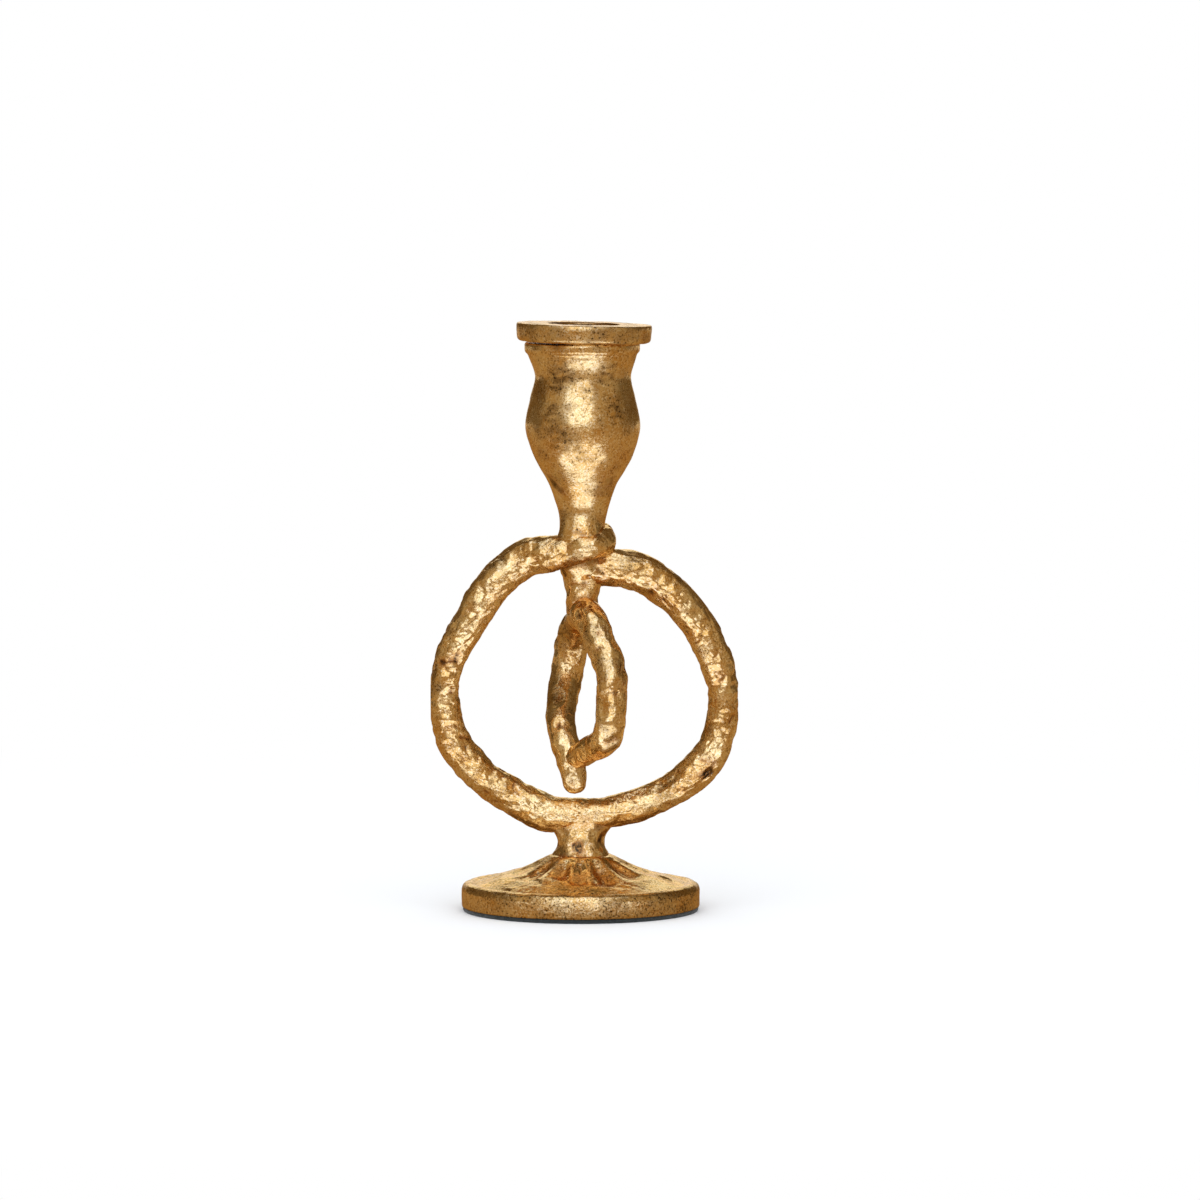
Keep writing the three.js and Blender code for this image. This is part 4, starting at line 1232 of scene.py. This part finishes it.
def floor_finish():
    """Pale floor, mixed with white light where the camera or the shine sees it far away."""
    finish, tree, shader, place = new_finish("pale_floor")
    shader.inputs["Roughness"].default_value = 0.9
    shader.inputs["Specular IOR Level"].default_value = 0.1
    path = tree.nodes.new("ShaderNodeLightPath").outputs
    tone = blend(tree, path["Is Glossy Ray"], FLOOR_PALE, FLOOR_SHADE)
    tree.links.new(tone, shader.inputs["Base Color"])
    far = fade(tree, length_of(tree, place), *FLOOR_CLEAR, "SMOOTHSTEP")
    behind = fade(tree, part_of(tree, place, "Y"), *FLOOR_BEHIND)
    mirrored = combine(tree, "MULTIPLY", path["Is Glossy Ray"], behind)
    seen = combine(tree, "MAXIMUM", path["Is Camera Ray"], mirrored)
    white = tree.nodes.new("ShaderNodeEmission")
    mix = tree.nodes.new("ShaderNodeMixShader")
    tree.links.new(combine(tree, "MULTIPLY", far, seen), mix.inputs["Fac"])
    tree.links.new(shader.outputs["BSDF"], mix.inputs[1])
    tree.links.new(white.outputs["Emission"], mix.inputs[2])
    tree.links.new(mix.outputs["Shader"], tree.nodes["Material Output"].inputs["Surface"])
    return finish


floor_mesh = bpy.data.meshes.new("floor")
floor_corners = FLOOR_HALF * np.array([[-1, -1, 0], [1, -1, 0], [1, 1, 0], [-1, 1, 0]])
floor_mesh.from_pydata(floor_corners.tolist(), [], [[0, 1, 2, 3]])
floor_mesh.materials.append(floor_finish())
floor = bpy.data.objects.new("floor", floor_mesh)
bpy.context.scene.collection.objects.link(floor)
print("floor of", 2 * FLOOR_HALF, "m")

# %% [markdown]
# The room.
# Light that falls on the holder from all round is an even pale grey. What the metal mirrors is another
# matter: an even room would make it look like paint. So the shine sees a warm glow in front, a dark brown
# to the sides, which draws the dark edges of the rods, and white straight behind. The camera sees white.

# %% Build the room
WHITE = (1.0, 1.0, 1.0)
AMBIENT = (0.92, 0.92, 0.92)
SHINE_FRONT = (0.41, 0.285, 0.14)
SHINE_SIDE = (0.14, 0.088, 0.034)
SHINE_STOPS = (0.35, 0.62, 0.965, 0.998)

room = bpy.data.worlds.new("studio")
room.use_nodes = True
bpy.context.scene.world = room
sky = room.node_tree
sky_path = sky.nodes.new("ShaderNodeLightPath").outputs
sky_direction = sky.nodes.new("ShaderNodeTexCoord").outputs["Generated"]
from_front = fade(sky, part_of(sky, sky_direction, "Y"), -1, 1)
mirrored_room = ramp(sky, from_front, list(zip(SHINE_STOPS, (SHINE_FRONT, SHINE_SIDE, SHINE_SIDE, WHITE))))
lit_room = blend(sky, sky_path["Is Glossy Ray"], AMBIENT, mirrored_room)
seen_through = combine(sky, "MAXIMUM", sky_path["Is Camera Ray"], sky_path["Is Transmission Ray"])
sky.links.new(blend(sky, seen_through, lit_room, WHITE), sky.nodes["Background"].inputs["Color"])
print("room with", len(SHINE_STOPS), "tones to mirror")

# %% [markdown]
# The lights.
# A wide soft box in front, above the camera, gives the cream streak down the middle of each rod. A small
# card on the floor in front fills the undersides, which gives the neck of the cup its long streak. One box
# overhead and one behind keep the top and the back readable. Bare lamps would give hard points instead of
# streaks. They are slightly cool, against the warm gold.

# %% Set the lights
LAMP_COLOUR = (0.93, 1.06, 1.22)
MIDDLE = (0, 0, 0.1)
CARD_PLACE = (0, -0.16, 0.002)
STRAIGHT_UP = (0, -0.16, 1)


def soft_light(name, place, aim, width, height, power):
    """A soft box: an area light that faces its aim and that the camera doesn't see."""
    lamp = bpy.data.lights.new(name, "AREA")
    lamp.shape = "RECTANGLE"
    lamp.size = width
    lamp.size_y = height
    lamp.energy = power
    lamp.color = LAMP_COLOUR
    box = bpy.data.objects.new(name, lamp)
    bpy.context.scene.collection.objects.link(box)
    box.location = place
    box.rotation_euler = (Vector(aim) - box.location).to_track_quat("-Z", "Y").to_euler()
    box.visible_camera = False
    print(name, power, "W")


soft_light("front_box", (-0.12, -1.3, 0.72), MIDDLE, width=1.5, height=1.15, power=5.3)
soft_light("bounce_card", CARD_PLACE, STRAIGHT_UP, width=0.28, height=0.21, power=0.18)
soft_light("top_box", (-0.05, -0.5, 1.4), MIDDLE, width=1.4, height=1.0, power=3.6)
soft_light("back_box", (0, 1.9, 0.9), MIDDLE, width=1.2, height=0.9, power=3)

# %% [markdown]
# The camera.
# It looks at the hoop from the front, from far away and slightly from above, as one photographs a small
# thing on a table. A long lens keeps the sides parallel. The lens follows from the distance and from the
# width of the picture at the holder.

# %% Place the camera
CAMERA_AIM = np.array([6.14, 0, 98.7]) * MM
CAMERA_DISTANCE = 2.29
CAMERA_RISE = math.radians(4.5)
CAMERA_RANGE = 20
SENSOR = 36.0
PICTURE_WIDTH = 0.38

lens = bpy.data.cameras.new("photo_camera")
lens.sensor_width = SENSOR
lens.lens = SENSOR * CAMERA_DISTANCE / PICTURE_WIDTH
lens.clip_end = CAMERA_RANGE
camera = bpy.data.objects.new("photo_camera", lens)
bpy.context.scene.collection.objects.link(camera)
camera.location = CAMERA_AIM + CAMERA_DISTANCE * np.array([0, -math.cos(CAMERA_RISE), math.sin(CAMERA_RISE)])
camera.rotation_euler = (math.pi / 2 - CAMERA_RISE, 0, 0)
bpy.context.scene.camera = camera
bpy.context.scene.view_settings.view_transform = "Standard"
print("camera with a lens of", round(lens.lens, 1), "mm")
